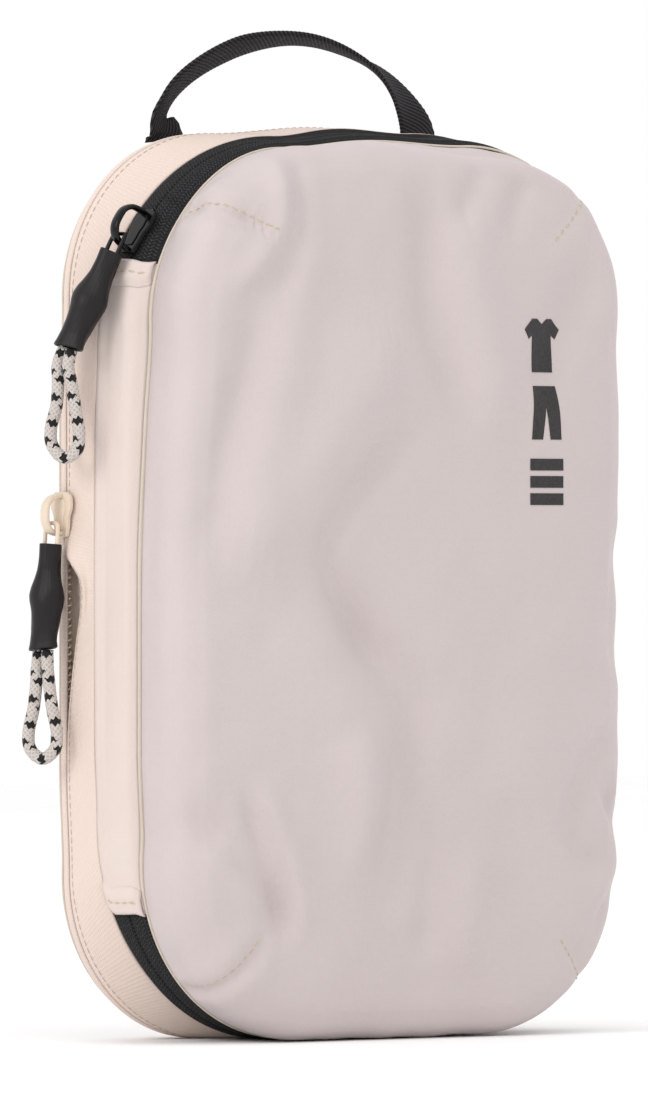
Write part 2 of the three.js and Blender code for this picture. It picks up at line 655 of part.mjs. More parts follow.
// Middle: the rear half of the zip band and the front half of the compression band.
add('main_tape_rear', mainTapeRear(zipRun()), material.blackTape);
const rearCoilPieces = {
  main_coil_rear: [upperZipEnd + 1, lowerZipEnd - 1],
  main_zip_stop_upper: [upperZipEnd, upperZipEnd + 1],
  main_zip_stop_lower: [lowerZipEnd - 1, lowerZipEnd],
};
Object.entries(rearCoilPieces).forEach(([name, [from, to]]) => {
  add(name, coil(stretch(from, to), false, bodyEdgeY, 1), material.blackCoil);
});
add('spine_rear', mainTapeRear(spineRun()), material.shell);
add('zip_end_tab_upper', zipEndTab(cornerIndex('upper-1', TAB_END), upperZipEnd), material.shell);
add('zip_end_tab_lower', zipEndTab(lowerZipEnd, cornerIndex('lower-1', TAB_END)), material.shell);
add('middle_seam_binding', seamBinding([BAND_FLAT_Y[1], MIDDLE_SEAM_Y, -5.5]), material.binding);
add('compression_tape_front', compressionTapeFront(), material.creamTape);
const unclosedStretch = stretch(leftIndex(80), leftIndex(70));
const unclosedCoil = coil(unclosedStretch, false, frontCompressionEdgeY, -1, unclosedShift);
add('compression_coil_front', unclosedCoil, material.creamCoil);
add('compression_stop_front',
  coil(stretch(leftIndex(70), leftIndex(80)), false, frontCompressionEdgeY, -1), material.creamCoil);
add('gusset_front_leg', gussetFrontLeg(), material.shell);

// Rear: the back panel, the rear half of the compression band and the gusset's rear leg.
add('compression_tape_rear', compressionTapeRear(), material.creamTape);
add('compression_coil_rear',
  coil(stretch(leftIndex(80), leftIndex(70)), false, rearCompressionEdgeY, 1), material.creamCoil);
add('compression_stop_rear',
  coil(stretch(leftIndex(70), leftIndex(80)), false, rearCompressionEdgeY, 1), material.creamCoil);
add('gusset_rear_tuck', gussetRearTuck(), material.shell);
add('gusset_rear_leg', gussetRearLeg(), material.shell);
add('back_seam_binding', seamBinding([9.2, BACK_SEAM_Y - 0.5]), material.binding);
add('back_panel', backPanel(), material.shell);
add('handle_webbing', handleWebbing(), material.webbing);

// Sliders and pulls.
addSlider('main_slider', MAIN_SLIDER, mainSliderSeat, mainSliderTurn, material.blackSlider);
add('main_pull_link', pullLink(mainEye, mainPullDirection, MAIN_LINK_LENGTH), material.blackSlider);
add('main_pull_sleeve', pullSleeve(mainSleeveTop, mainPullDirection, 1.05), material.sleeve);
add('main_pull_cord', cordLoop(mainSleeveEnd, mainPullDirection), material.cord);
addSlider('compression_slider', COMPRESSION_SLIDER, compressionSliderSeat, compressionSliderTurn,
  material.creamSlider);
const compressionLink = pullLink(compressionEye, compressionPullDirection, COMPRESSION_LINK_LENGTH);
add('compression_pull_link', compressionLink, material.creamSlider);
const compressionPullSleeve = pullSleeve(compressionSleeveTop, compressionPullDirection, 1);
add('compression_pull_sleeve', compressionPullSleeve, material.sleeve);
add('compression_pull_cord', cordLoop(compressionSleeveEnd, compressionPullDirection), material.cord);

export default group;
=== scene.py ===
"""The looks of the packing cube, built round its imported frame.

Metres. X is the width, Z is up, and the front panel faces -Y.
"""
import math

import bmesh
import bpy
import numpy as np
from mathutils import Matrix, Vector, kdtree, noise
from mathutils.bvhtree import BVHTree
from mathutils.geometry import tessellate_polygon


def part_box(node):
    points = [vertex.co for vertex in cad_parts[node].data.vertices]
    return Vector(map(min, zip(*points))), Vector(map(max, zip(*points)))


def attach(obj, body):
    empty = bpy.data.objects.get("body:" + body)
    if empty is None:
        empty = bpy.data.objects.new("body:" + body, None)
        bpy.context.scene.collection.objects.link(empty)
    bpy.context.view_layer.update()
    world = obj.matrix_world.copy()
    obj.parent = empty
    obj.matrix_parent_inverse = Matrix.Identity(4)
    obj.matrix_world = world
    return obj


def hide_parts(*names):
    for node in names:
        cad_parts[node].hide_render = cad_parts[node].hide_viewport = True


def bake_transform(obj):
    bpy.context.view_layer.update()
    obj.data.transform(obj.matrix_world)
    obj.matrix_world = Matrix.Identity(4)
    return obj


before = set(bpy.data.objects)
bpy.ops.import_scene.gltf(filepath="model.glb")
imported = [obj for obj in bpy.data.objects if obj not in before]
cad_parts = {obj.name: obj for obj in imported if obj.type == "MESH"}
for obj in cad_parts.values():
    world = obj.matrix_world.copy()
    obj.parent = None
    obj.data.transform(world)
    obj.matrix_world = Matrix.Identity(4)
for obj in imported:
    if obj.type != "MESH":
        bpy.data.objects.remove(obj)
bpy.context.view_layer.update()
MM = 0.001
UP = Vector((0, 0, 1))


# ---------- driving dimensions, from the frame ----------
SIDE_BOW = 1 * MM
TOP_BOW = 2.5 * MM
SIDE_RAMP = 30 * MM
ZIP_RADIUS = 47 * MM
# The compression tape's edge lies this far inside the widest outline.
EDGE_INSET_SIDE = 0.24 * MM
EDGE_INSET_TOP = 0.05 * MM
band_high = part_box("compression_tape_rear")[1]
HALF_WIDTH = band_high.x - SIDE_BOW + EDGE_INSET_SIDE
HEIGHT = band_high.z - TOP_BOW + EDGE_INSET_TOP
MIDDLE_Z = HEIGHT / 2

FRONT_SEAM_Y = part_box("front_panel")[1].y
FRONT_CROWN_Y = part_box("front_panel")[0].y
BACK_SEAM_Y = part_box("back_panel")[0].y
BACK_CROWN_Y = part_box("back_panel")[1].y
MAIN_ZIP_Y = -15 * MM
MIDDLE_SEAM_Y = -8 * MM
COMPRESSION_ZIP_Y = 4 * MM
ZIP_UPPER_END = 22.8
ZIP_LOWER_END = 22.8
TAB_END = 16.3
LID_TAPE_START = 45
TAPE_THICKNESS = 0.9 * MM
HANDLE_Y = BACK_SEAM_Y + 0.9 * MM

# At these depths: the outline's corner radius, and the skin's inset from the outline round the
# sides, over the top and underneath.
SKIN_Y = np.array([-22, -19.6, -10.4, -8, 4, 6.5, 8, 12]) * MM
CORNER_RADIUS = np.array([57, 60, 60, 65, 47, 47.9, 48.5, 50]) * MM
SIDE_SKIN = np.array([7.2, 4.5, 3.6, 1.3, 0.1, 0.6, 1.6, 4.7]) * MM
TOP_SKIN = np.array([5, 2.9, 2, 0.6, 0, 0.2, 0.3, 2.5]) * MM
BOTTOM_SKIN = np.array([1.2, 0.4, 0, 0, 0, 0, 0, 1.6]) * MM


def smooth(value, low=0.0, high=1.0):
    t = np.clip((np.asarray(value, float) - low) / (high - low), 0, 1)
    return t * t * (3 - 2 * t)


def mix(a, b, t):
    return a + (b - a) * t


# ---------- outline of the body ----------
# A place is x, z, their change for each metre of corner radius, and the outward direction.
def corner_place(side, upper, angle):
    vertical = 1 if upper else -1
    nx = side * math.cos(angle)
    nz = vertical * math.sin(angle)
    return side * HALF_WIDTH, HEIGHT if upper else 0.0, nx - side, nz - vertical, nx, nz


def side_place(side, height):
    share = (height - ZIP_RADIUS) / SIDE_LENGTH
    swell = SIDE_BOW * float(smooth(min(share, 1 - share) * SIDE_LENGTH, 0, SIDE_RAMP))
    return side * (HALF_WIDTH + swell), HEIGHT * share, 0.0, 1 - 2 * share, side, 0.0


def level_place(x, upper):
    share = x / (LEVEL_LENGTH / 2)
    swell = TOP_BOW * math.cos(share * math.pi / 2) ** 2
    return HALF_WIDTH * share, HEIGHT + swell if upper else 0.0, -share, 0.0, 0.0, 1.0 if upper else -1.0


CORNER_ARC = ZIP_RADIUS * math.pi / 2
SIDE_LENGTH = HEIGHT - 2 * ZIP_RADIUS
LEVEL_LENGTH = 2 * (HALF_WIDTH - ZIP_RADIUS)

# Clockwise seen from the front, from the foot of the upper left corner, along the compression zip.
SEGMENTS = [
    (CORNER_ARC, lambda s: corner_place(-1, True, s / ZIP_RADIUS)),
    (LEVEL_LENGTH, lambda s: level_place(s - LEVEL_LENGTH / 2, True)),
    (CORNER_ARC, lambda s: corner_place(1, True, (CORNER_ARC - s) / ZIP_RADIUS)),
    (SIDE_LENGTH, lambda s: side_place(1, HEIGHT - ZIP_RADIUS - s)),
    (CORNER_ARC, lambda s: corner_place(1, False, s / ZIP_RADIUS)),
    (LEVEL_LENGTH, lambda s: level_place(LEVEL_LENGTH / 2 - s, False)),
    (CORNER_ARC, lambda s: corner_place(-1, False, (CORNER_ARC - s) / ZIP_RADIUS)),
    (SIDE_LENGTH, lambda s: side_place(-1, ZIP_RADIUS + s)),
]
PERIMETER = sum(length for length, _ in SEGMENTS)


def outline(s, radius=ZIP_RADIUS):
    """x, z and the outward direction's x and z at arc length s, for a corner radius."""
    s = s % PERIMETER
    for length, place in SEGMENTS:
        if s <= length:
            break
        s -= length
    x, z, rx, rz, nx, nz = place(min(s, length))
    return x + radius * rx, z + radius * rz, nx, nz


def upper_left(degrees):
    return ZIP_RADIUS * math.radians(degrees)


def lower_left(degrees):
    return PERIMETER - SIDE_LENGTH - ZIP_RADIUS * math.radians(degrees)


def left_side(z):
    return PERIMETER - (HEIGHT - ZIP_RADIUS - z)


def skin_inset(y, nz):
    side = np.interp(y, SKIN_Y, SIDE_SKIN)
    level = np.interp(y, SKIN_Y, TOP_SKIN if nz > 0 else BOTTOM_SKIN)
    return mix(side, level, abs(nz))


# Towards the upper right corner the zip stands further forward and out, and the panel's top draws in.
CORNER_FORWARD = 8 * MM
CORNER_OUTWARD = 1.8 * MM
TOP_DRAW_IN = 2.5 * MM
TOP_MIDDLE = CORNER_ARC + LEVEL_LENGTH / 2
CORNER_START = CORNER_ARC + LEVEL_LENGTH


def corner_share(s, y):
    s = s % PERIMETER
    rise = smooth(s, TOP_MIDDLE - 10 * MM, CORNER_START + 15 * MM)
    fall = 1 - smooth(s, CORNER_START + 0.5 * CORNER_ARC, CORNER_START + CORNER_ARC + 30 * MM)
    return float(rise * fall * smooth(-y, -COMPRESSION_ZIP_Y, -MIDDLE_SEAM_Y + 2.4 * MM))


def top_draw_in(s):
    s = s % PERIMETER
    rise = smooth(s, TOP_MIDDLE - 20 * MM, TOP_MIDDLE + 15 * MM)
    return TOP_DRAW_IN * float(rise * (1 - smooth(s, CORNER_START, CORNER_START + 0.45 * CORNER_ARC)))


LEFT_DRAW_IN = 3 * MM


def left_draw_in(s, y):
    """The front edge is also drawn in round the upper left corner."""
    s = (s + SIDE_LENGTH) % PERIMETER
    rise = smooth(s, 0.5 * SIDE_LENGTH, SIDE_LENGTH)
    fall = 1 - smooth(s, SIDE_LENGTH + 0.4 * CORNER_ARC, SIDE_LENGTH + CORNER_ARC)
    return LEFT_DRAW_IN * float(rise * fall * smooth(-y, 16.5 * MM, -FRONT_SEAM_Y))


def skin(s, y, below=0.0):
    """A point of the body's skin at arc length s and depth y, pushed in by below."""
    x, z, nx, nz = outline(s, np.interp(y, SKIN_Y, CORNER_RADIUS))
    share = corner_share(s, y)
    inset = skin_inset(y, nz) + below - CORNER_OUTWARD * share + left_draw_in(s, y)
    return np.array([x - inset * nx, y - CORNER_FORWARD * share, z - inset * nz])


def steps(start, end, spacing):
    """Arc lengths from start round to end, about evenly spaced."""
    if end <= start:
        end += PERIMETER
    return np.linspace(start, end, max(2, round((end - start) / spacing)) + 1)


def left_height(s):
    """The height of a place on the straight left side, or None elsewhere."""
    x, z, nx, nz = outline(s)
    return z if x < 0 and nz == 0 else None


# ---------- meshes ----------
def mesh_object(name, points, faces, uvs=None, material=None):
    """uvs holds a pair for each corner of each face, in order."""
    mesh = bpy.data.meshes.new(name)
    mesh.from_pydata([tuple(p) for p in points], [], faces)
    if uvs is not None:
        layer = mesh.uv_layers.new(name="UVMap")
        layer.data.foreach_set("uv", np.asarray(uvs, np.float32).ravel())
    mesh.polygons.foreach_set("use_smooth", [True] * len(mesh.polygons))
    if material is not None:
        mesh.materials.append(material)
    mesh.update()
    piece = bpy.data.objects.new(name, mesh)
    bpy.context.scene.collection.objects.link(piece)
    return piece


def grid(name, points, uvs, material, closed=False):
    """points is rows x columns x 3. Where closed, the last column joins the first,
    and uvs has one column more."""
    points = np.asarray(points, float)
    uvs = np.asarray(uvs, float)
    rows, columns = points.shape[:2]
    faces, corners = [], []
    for r in range(rows - 1):
        for c in range(columns if closed else columns - 1):
            n = (c + 1) % columns
            faces.append((r * columns + c, r * columns + n, (r + 1) * columns + n, (r + 1) * columns + c))
            corners += [uvs[r, c], uvs[r, c + 1], uvs[r + 1, c + 1], uvs[r + 1, c]]
    return mesh_object(name, points.reshape(-1, 3), faces, corners, material)


def frames_along(path):
    """A steady pair of side directions for each point of a path."""
    path = [Vector(p) for p in path]
    sides = []
    side = None
    for i, point in enumerate(path):
        ahead = path[min(i + 1, len(path) - 1)] - path[max(i - 1, 0)]
        tangent = ahead.normalized()
        if side is None:
            side = tangent.orthogonal()
        side = (side - tangent * side.dot(tangent)).normalized()
        sides.append((side, tangent.cross(side)))
    return sides


def tube(name, path, radius, material, sides=12, closed_ends=True):
    """radius is a number, or one for each point. UVs run along in metres and round from 0 to 1."""
    path = [Vector(p) for p in path]
    radii = np.broadcast_to(radius, len(path))
    points, faces, corners = [], [], []
    along = 0.0
    lengths = []
    for i, (point, (u, v)) in enumerate(zip(path, frames_along(path))):
        along += (point - path[i - 1]).length if i else 0
        lengths.append(along)
        for k in range(sides):
            angle = 2 * math.pi * k / sides
            points.append(point + (u * math.cos(angle) + v * math.sin(angle)) * float(radii[i]))
    for i in range(len(path) - 1):
        for k in range(sides):
            n = (k + 1) % sides
            faces.append((i * sides + k, i * sides + n, (i + 1) * sides + n, (i + 1) * sides + k))
            corners += [(lengths[i], k / sides), (lengths[i], (k + 1) / sides),
                        (lengths[i + 1], (k + 1) / sides), (lengths[i + 1], k / sides)]
    if closed_ends:
        last = (len(path) - 1) * sides
        faces.append(tuple(range(sides))[::-1])
        faces.append(tuple(last + k for k in range(sides)))
        corners += [(0, 0)] * sides + [(along, 0)] * sides
    return mesh_object(name, points, faces, corners, material)


def smooth_path(points, count):
    """A centripetal Catmull-Rom curve through the points, evenly resampled."""
    def between(a, b, low, high, t):
        return (a * (high - t) + b * (t - low)) / (high - low)

    p = [np.array(q, float) for q in points]
    p = [2 * p[0] - p[1], *p, 2 * p[-1] - p[-2]]
    dense = []
    for p0, p1, p2, p3 in zip(p, p[1:], p[2:], p[3:]):
        k0 = 0.0
        k1 = k0 + max(np.linalg.norm(p1 - p0), 1e-9) ** 0.5
        k2 = k1 + max(np.linalg.norm(p2 - p1), 1e-9) ** 0.5
        k3 = k2 + max(np.linalg.norm(p3 - p2), 1e-9) ** 0.5
        for t in np.linspace(k1, k2, 24, endpoint=False):
            a1 = between(p0, p1, k0, k1, t)
            a2 = between(p1, p2, k1, k2, t)
            a3 = between(p2, p3, k2, k3, t)
            dense.append(between(between(a1, a2, k0, k2, t), between(a2, a3, k1, k3, t), k1, k2, t))
    dense.append(p[-2])
    return resample(dense, count)


def resample(points, count):
    points = np.array(points)
    gaps = np.linalg.norm(np.diff(points, axis=0), axis=1)
    along = np.concatenate([[0], np.cumsum(gaps)])
    wanted = np.linspace(0, along[-1], count)
    return np.stack([np.interp(wanted, along, points[:, k]) for k in range(points.shape[1])], axis=1)


def freeze(piece):
    """Replaces the piece's mesh with what its modifiers make of it."""
    bpy.context.view_layer.update()
    evaluated = piece.evaluated_get(bpy.context.evaluated_depsgraph_get())
    mesh = bpy.data.meshes.new_from_object(evaluated)
    piece.modifiers.clear()
    piece.data = mesh
    return piece


def thicken(piece, thickness, offset=-1.0, subdivisions=0):
    if subdivisions:
        finer = piece.modifiers.new("finer", "SUBSURF")
        finer.levels = subdivisions
    solidify = piece.modifiers.new("thickness", "SOLIDIFY")
    solidify.thickness = thickness
    solidify.offset = offset
    return freeze(piece)


def joined(name, pieces):
    """One piece from several meshes that share a material list."""
    bpy.context.view_layer.update()
    with bpy.context.temp_override(
        active_object=pieces[0], selected_editable_objects=pieces, selected_objects=pieces
    ):
        bpy.ops.object.join()
    pieces[0].name = name
    pieces[0].data.name = name
    return pieces[0]


def stitches(name, path, normal_at, material, length=2.2 * MM, gap=0.7 * MM, radius=0.22 * MM):
    """A row of thread stitches along a path, each a small sunk-ended bead."""
    path = np.array(path, float)
    gaps = np.linalg.norm(np.diff(path, axis=0), axis=1)
    total = float(gaps.sum())
    count = max(1, int(total / (length + gap)))
    spots = resample(path, count * 5 + 1)
    points, faces = [], []
    ring = 6
    for i in range(count):
        run = [Vector(spots[i * 5 + k]) for k in range(5)]
        rise = [0.0, 0.8, 1.0, 0.8, 0.0]
        width = [0.35, 0.9, 1.0, 0.9, 0.35]
        base = len(points)
        for k, point in enumerate(run):
            normal = Vector(normal_at(point)).normalized()
            tangent = (run[min(k + 1, 4)] - run[max(k - 1, 0)]).normalized()
            across = tangent.cross(normal).normalized()
            centre = point + normal * radius * (rise[k] - 0.35)
            for j in range(ring):
                angle = 2 * math.pi * j / ring
                points.append(centre + (across * math.cos(angle) + normal * math.sin(angle) * 0.8)
                              * radius * width[k])
        for k in range(4):
            for j in range(ring):
                n = (j + 1) % ring
                faces.append((base + k * ring + j, base + k * ring + n,
                              base + (k + 1) * ring + n, base + (k + 1) * ring + j))
        faces.append(tuple(base + j for j in range(ring))[::-1])
        faces.append(tuple(base + 4 * ring + j for j in range(ring)))
    return mesh_object(name, points, faces, None, material)


def finish_piece(piece, body, slot, *nodes):
    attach(piece, body)
    if nodes:
        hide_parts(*nodes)
    return piece


def fold_piece(piece, slot, *nodes):
    """Bakes a piece's transform into its mesh, for a piece across the lid's fold line, down the left side,
    and hides the frame's parts it replaces.
    """
    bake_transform(piece)
    if nodes:
        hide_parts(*nodes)


def loose_piece(piece, node):
    """Bakes the transform of the loose end of the lid's zip half, from where the zip starts to where it
    follows the lid, into its mesh and hides its frame part.
    """
    skin(upper_left(ZIP_UPPER_END), MAIN_ZIP_Y)
    skin(upper_left(LID_TAPE_START), MAIN_ZIP_Y)
    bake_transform(piece)
    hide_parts(node)


# ---------- materials ----------
class Surface:
    """Short-hand for building one material's nodes."""

    def __init__(self, name, roughness=0.7, metallic=0.0, sheen=0.0, specular=0.5, coat=0.0):
        self.material = bpy.data.materials.new(name)
        self.material.use_nodes = True
        self.nodes = self.material.node_tree.nodes
        self.links = self.material.node_tree.links
        self.shader = self.nodes["Principled BSDF"]
        self.shader.inputs["Roughness"].default_value = roughness
        self.shader.inputs["Metallic"].default_value = metallic
        self.shader.inputs["Specular IOR Level"].default_value = specular
        self.shader.inputs["Sheen Weight"].default_value = sheen
        self.shader.inputs["Sheen Roughness"].default_value = 0.4
        self.shader.inputs["Coat Weight"].default_value = coat
        self.shader.inputs["Coat Roughness"].default_value = 0.12

    def put(self, socket, value):
        if isinstance(value, bpy.types.NodeSocket):
            self.links.new(value, socket)
        else:
            socket.default_value = value

    def math(self, operation, a, b=0.0, c=0.0):
        node = self.nodes.new("ShaderNodeMath")
        node.operation = operation
        for socket, value in zip(node.inputs, (a, b, c)):
            self.put(socket, value)
        return node.outputs[0]

    def times(self, a, b):
        return self.math("MULTIPLY", a, b)

    def times_plus(self, a, b, c):
        return self.math("MULTIPLY_ADD", a, b, c)

    def power(self, a, exponent):
        return self.math("POWER", a, exponent)

    def position(self):
        """Object coordinates, in metres."""
        return self.nodes.new("ShaderNodeTexCoord").outputs["Object"]

    def uv(self):
        """The surface's own two coordinates."""
        split = self.nodes.new("ShaderNodeSeparateXYZ")
        self.put(split.inputs[0], self.nodes.new("ShaderNodeTexCoord").outputs["UV"])
        return split.outputs[0], split.outputs[1]

    def ripple(self, coordinate, period):
        """A wave between 0 and 1."""
        phase = self.times(coordinate, 2 * math.pi / period)
        return self.times_plus(self.math("SINE", phase), 0.5, 0.5)

    def speckle(self, size, detail=2.0, roughness=0.5):
        """Soft noise between 0 and 1, with blotches of the given size in metres."""
        node = self.nodes.new("ShaderNodeTexNoise")
        self.put(node.inputs["Vector"], self.position())
        node.inputs["Scale"].default_value = 1 / size
        node.inputs["Detail"].default_value = detail
        node.inputs["Roughness"].default_value = roughness
        return node.outputs["Fac"]

    def blend(self, factor, first, second):
        node = self.nodes.new("ShaderNodeMix")
        node.data_type = "RGBA"
        self.put(node.inputs["Factor"], factor)
        self.put(node.inputs["A"], first)
        self.put(node.inputs["B"], second)
        return node.outputs["Result"]

    def colour(self, value):
        self.put(self.shader.inputs["Base Color"], value)
        return self

    def roughness(self, value):
        self.put(self.shader.inputs["Roughness"], value)
        return self

    def relief(self, *layers):
        """Bump from (height socket, depth in metres) layers."""
        normal = None
        for height, depth in layers:
            bump = self.nodes.new("ShaderNodeBump")
            bump.inputs["Strength"].default_value = 1.0
            bump.inputs["Distance"].default_value = depth
            self.put(bump.inputs["Height"], height)
            if normal is not None:
                self.put(bump.inputs["Normal"], normal)
            normal = bump.outputs["Normal"]
        self.put(self.shader.inputs["Normal"], normal)
        return self


def tint(red, green, blue):
    """A colour from its sRGB parts, 0 to 255."""
    def linear(part):
        part /= 255
        return part / 12.92 if part <= 0.04045 else ((part + 0.055) / 1.055) ** 2.4
    return (linear(red), linear(green), linear(blue), 1.0)


def nylon(name, light, dark, sheen=0.15):
    """Thin plain-weave nylon with a faint ripstop grid and a dry, slightly papery finish."""
    surface = Surface(name, roughness=0.55, sheen=sheen, specular=0.35)
    u, v = surface.uv()
    thread = 0.42 * MM
    weave = surface.times(surface.ripple(u, thread), surface.ripple(v, thread))
    cell = 3.4 * MM
    ribs = surface.math("MAXIMUM", surface.ripple(u, cell), surface.ripple(v, cell))
    ribs = surface.power(ribs, 24.0)
    blotch = surface.speckle(28 * MM, 4.0)
    grain = surface.speckle(0.9 * MM, 3.0, 0.7)
    shade = surface.times_plus(grain, 0.45, surface.times(blotch, 0.55))
    colour = surface.blend(shade, dark, light)
    surface.colour(surface.blend(surface.times(ribs, 0.10), colour, dark))
    surface.roughness(surface.times_plus(grain, 0.2, 0.45))
    creases = surface.speckle(7 * MM, 3.0, 0.55)
    return surface.relief((creases, 0.25 * MM), (grain, 0.06 * MM), (weave, 0.03 * MM)).material


def ribbed_tape(name, light, dark, rib, relief, sheen=0.2):
    """Knitted zip tape: close ribs across, a fine thread along. Its colour is darker in the grooves of the
    knit as painted shade, over a random grain.
    """
    surface = Surface(name, roughness=0.8, sheen=sheen, specular=0.25)
    u, v = surface.uv()
    ribs = surface.ripple(u, rib)
    threads = surface.ripple(v, 0.55 * MM)
    knit = surface.times_plus(threads, 0.35, surface.times(ribs, 0.65))
    grain = surface.speckle(0.7 * MM, 3.0, 0.7)
    # Painted shade: the colour darkens where the knit is low, in its grooves; the grain is the yarn's own
    # random tone.
    shade = surface.times_plus(grain, 0.5, surface.times(knit, 0.5))
    surface.colour(surface.blend(shade, dark, light))
    return surface.relief((knit, relief), (grain, 0.05 * MM)).material


def chevron_tape(name, light, dark):
    """Black zip tape, knitted in small chevrons, with painted glints: lighter specks on the knit's crests
    where it would catch the light.
    """
    surface = Surface(name, roughness=0.85, sheen=0.0, specular=0.12)
    u, v = surface.uv()
    slant = surface.math("PINGPONG", v, 0.9 * MM)
    chevron = surface.ripple(surface.times_plus(slant, 0.9, u), 0.95 * MM)
    wales = surface.ripple(v, 0.9 * MM)
    knit = surface.times(chevron, surface.times_plus(wales, 0.6, 0.4))
    fleck = surface.speckle(0.55 * MM, 2.0, 0.8)
    # Painted glints: light specks laid into the colour on the knit.
    glint = surface.math("SMOOTH_MIN", surface.power(fleck, 2.0), 0.6, 0.1)
    bright = surface.times(knit, glint)
    surface.colour(surface.blend(bright, dark, light))
    return surface.relief((knit, 0.16 * MM), (fleck, 0.05 * MM)).material


def twill_webbing(name, light, dark):
    """Heavy webbing with steep diagonal ribs, its colour darker in the grooves between them as painted shade,
    over a random fuzz.
    """
    surface = Surface(name, roughness=0.8, sheen=0.0, specular=0.16)
    u, v = surface.uv()
    ribs = surface.ripple(surface.times_plus(v, 0.9, u), 1.45 * MM)
    threads = surface.ripple(v, 0.8 * MM)
    weave = surface.times_plus(threads, 0.25, surface.times(ribs, 0.75))
    fuzz = surface.speckle(0.5 * MM, 3.0, 0.8)
    # Painted shade: the colour darkens in the weave's grooves; the fuzz is the yarn's own random tone.
    shade = surface.times(surface.power(weave, 1.6), surface.times_plus(fuzz, 0.8, 0.4))
    surface.colour(surface.blend(shade, dark, light))
    return surface.relief((weave, 0.35 * MM), (fuzz, 0.05 * MM)).material


def enamel(name, light, dark, roughness, coat):
    """Sprayed enamel over a die-cast part, with a faint orange-peel."""
    surface = Surface(name, roughness=roughness, specular=0.25, coat=coat)
    peel = surface.speckle(1.6 * MM, 2.0)
    wear = surface.speckle(4 * MM, 5.0, 0.7)
    surface.colour(surface.blend(wear, dark, light))
    surface.roughness(surface.times_plus(wear, 0.1, roughness - 0.04))
    return surface.relief((peel, 0.02 * MM)).material


def moulded_nylon(name, light, dark):
    """The monofilament of a zip coil: translucent-looking, with soft highlights."""
    surface = Surface(name, roughness=0.4, specular=0.5)
    surface.colour(surface.blend(surface.speckle(1.5 * MM, 2.0), dark, light))
    return surface.relief((surface.speckle(0.4 * MM, 2.0), 0.02 * MM)).material


def shrunk_rubber(name):
    """Heat-shrunk sleeve: satin black with a very fine grain and faint lengthwise draw marks."""
    surface = Surface(name, roughness=0.42, specular=0.22)
    grain = surface.speckle(0.6 * MM, 3.0, 0.6)
    blotch = surface.speckle(6 * MM, 3.0)
    u, v = surface.uv()
    draw = surface.ripple(v, 1 / 26)
    surface.colour(surface.blend(blotch, tint(22, 19, 20), tint(34, 30, 31)))
    surface.roughness(surface.times_plus(grain, 0.22, 0.32))
    return surface.relief((blotch, 0.12 * MM), (draw, 0.02 * MM), (grain, 0.03 * MM)).material


def braided_cord(name):
    """Round braid, cream with black carriers that show as zigzag flecks, and painted shade darkening the gaps
    between the plaits.
    """
    surface = Surface(name, roughness=0.75, sheen=0.2, specular=0.25)
    u, v = surface.uv()
    strands = 14
    saw = surface.math("PINGPONG", surface.times(v, strands / 2), 0.5)
    stepped = surface.times_plus(saw, 1.5 * MM, u)
    turn = 6.5 * MM
    left = surface.math("FRACT", surface.math("ADD", surface.math("DIVIDE", stepped, turn), v))
    right = surface.math("FRACT", surface.math("SUBTRACT", surface.math("DIVIDE", stepped, turn * 0.62), v))
    fleck = surface.times(surface.math("LESS_THAN", left, 0.42), surface.math("LESS_THAN", right, 0.58))
    plait_a = surface.ripple(surface.times_plus(v, 1.5 * MM * strands / 2, u), 1.5 * MM)
    plait_b = surface.ripple(surface.times_plus(v, -1.5 * MM * strands / 2, u), 1.5 * MM)
    plait = surface.math("MAXIMUM", plait_a, plait_b)
    fuzz = surface.speckle(0.35 * MM, 2.0)
    cream = surface.blend(fuzz, tint(186, 176, 170), tint(216, 208, 203))
    # Painted shade: the cream darkens in the gaps between the plaits.
    between = surface.times_plus(plait, -0.5, 0.5)
    cream = surface.blend(between, cream, tint(150, 140, 132))
    surface.colour(surface.blend(fleck, cream, tint(26, 24, 24)))
    return surface.relief((plait, 0.25 * MM), (fuzz, 0.04 * MM)).material


def thread(name, light, dark):
    """Sewing thread with its twist."""
    surface = Surface(name, roughness=0.6, sheen=0.2, specular=0.3)
    surface.colour(surface.blend(surface.speckle(0.5 * MM, 2.0), dark, light))
    return surface.relief((surface.speckle(0.3 * MM, 2.0), 0.05 * MM)).material


def printed_ink(name):
    """Screen-printed black, broken up a little by the weave below."""
    surface = Surface(name, roughness=0.6, specular=0.35)
    grain = surface.speckle(0.5 * MM, 3.0, 0.8)
    surface.colour(surface.blend(surface.power(grain, 2.0), tint(18, 17, 18), tint(88, 84, 84)))
    return surface.relief((grain, 0.05 * MM)).material


def pale_floor(name):
    surface = Surface(name, roughness=0.75, specular=0.2)
    surface.colour(surface.blend(surface.speckle(0.4), tint(250, 250, 250), tint(255, 255, 255)))
    return surface.relief((surface.speckle(6 * MM, 3.0), 0.02 * MM)).material


SHELL = nylon("shell_nylon", tint(203, 191, 190), tint(192, 180, 179))
# The hinge strip's cloth is paler than the shell partly in its own colour, and partly as painted light for
# its left side that faces the key lamp.
SPINE_PAINTED_LIGHT = nylon("spine_nylon_painted_light", tint(218, 204, 197), tint(209, 194, 187))
GUSSET = nylon("gusset_nylon", tint(240, 222, 206), tint(228, 208, 190))
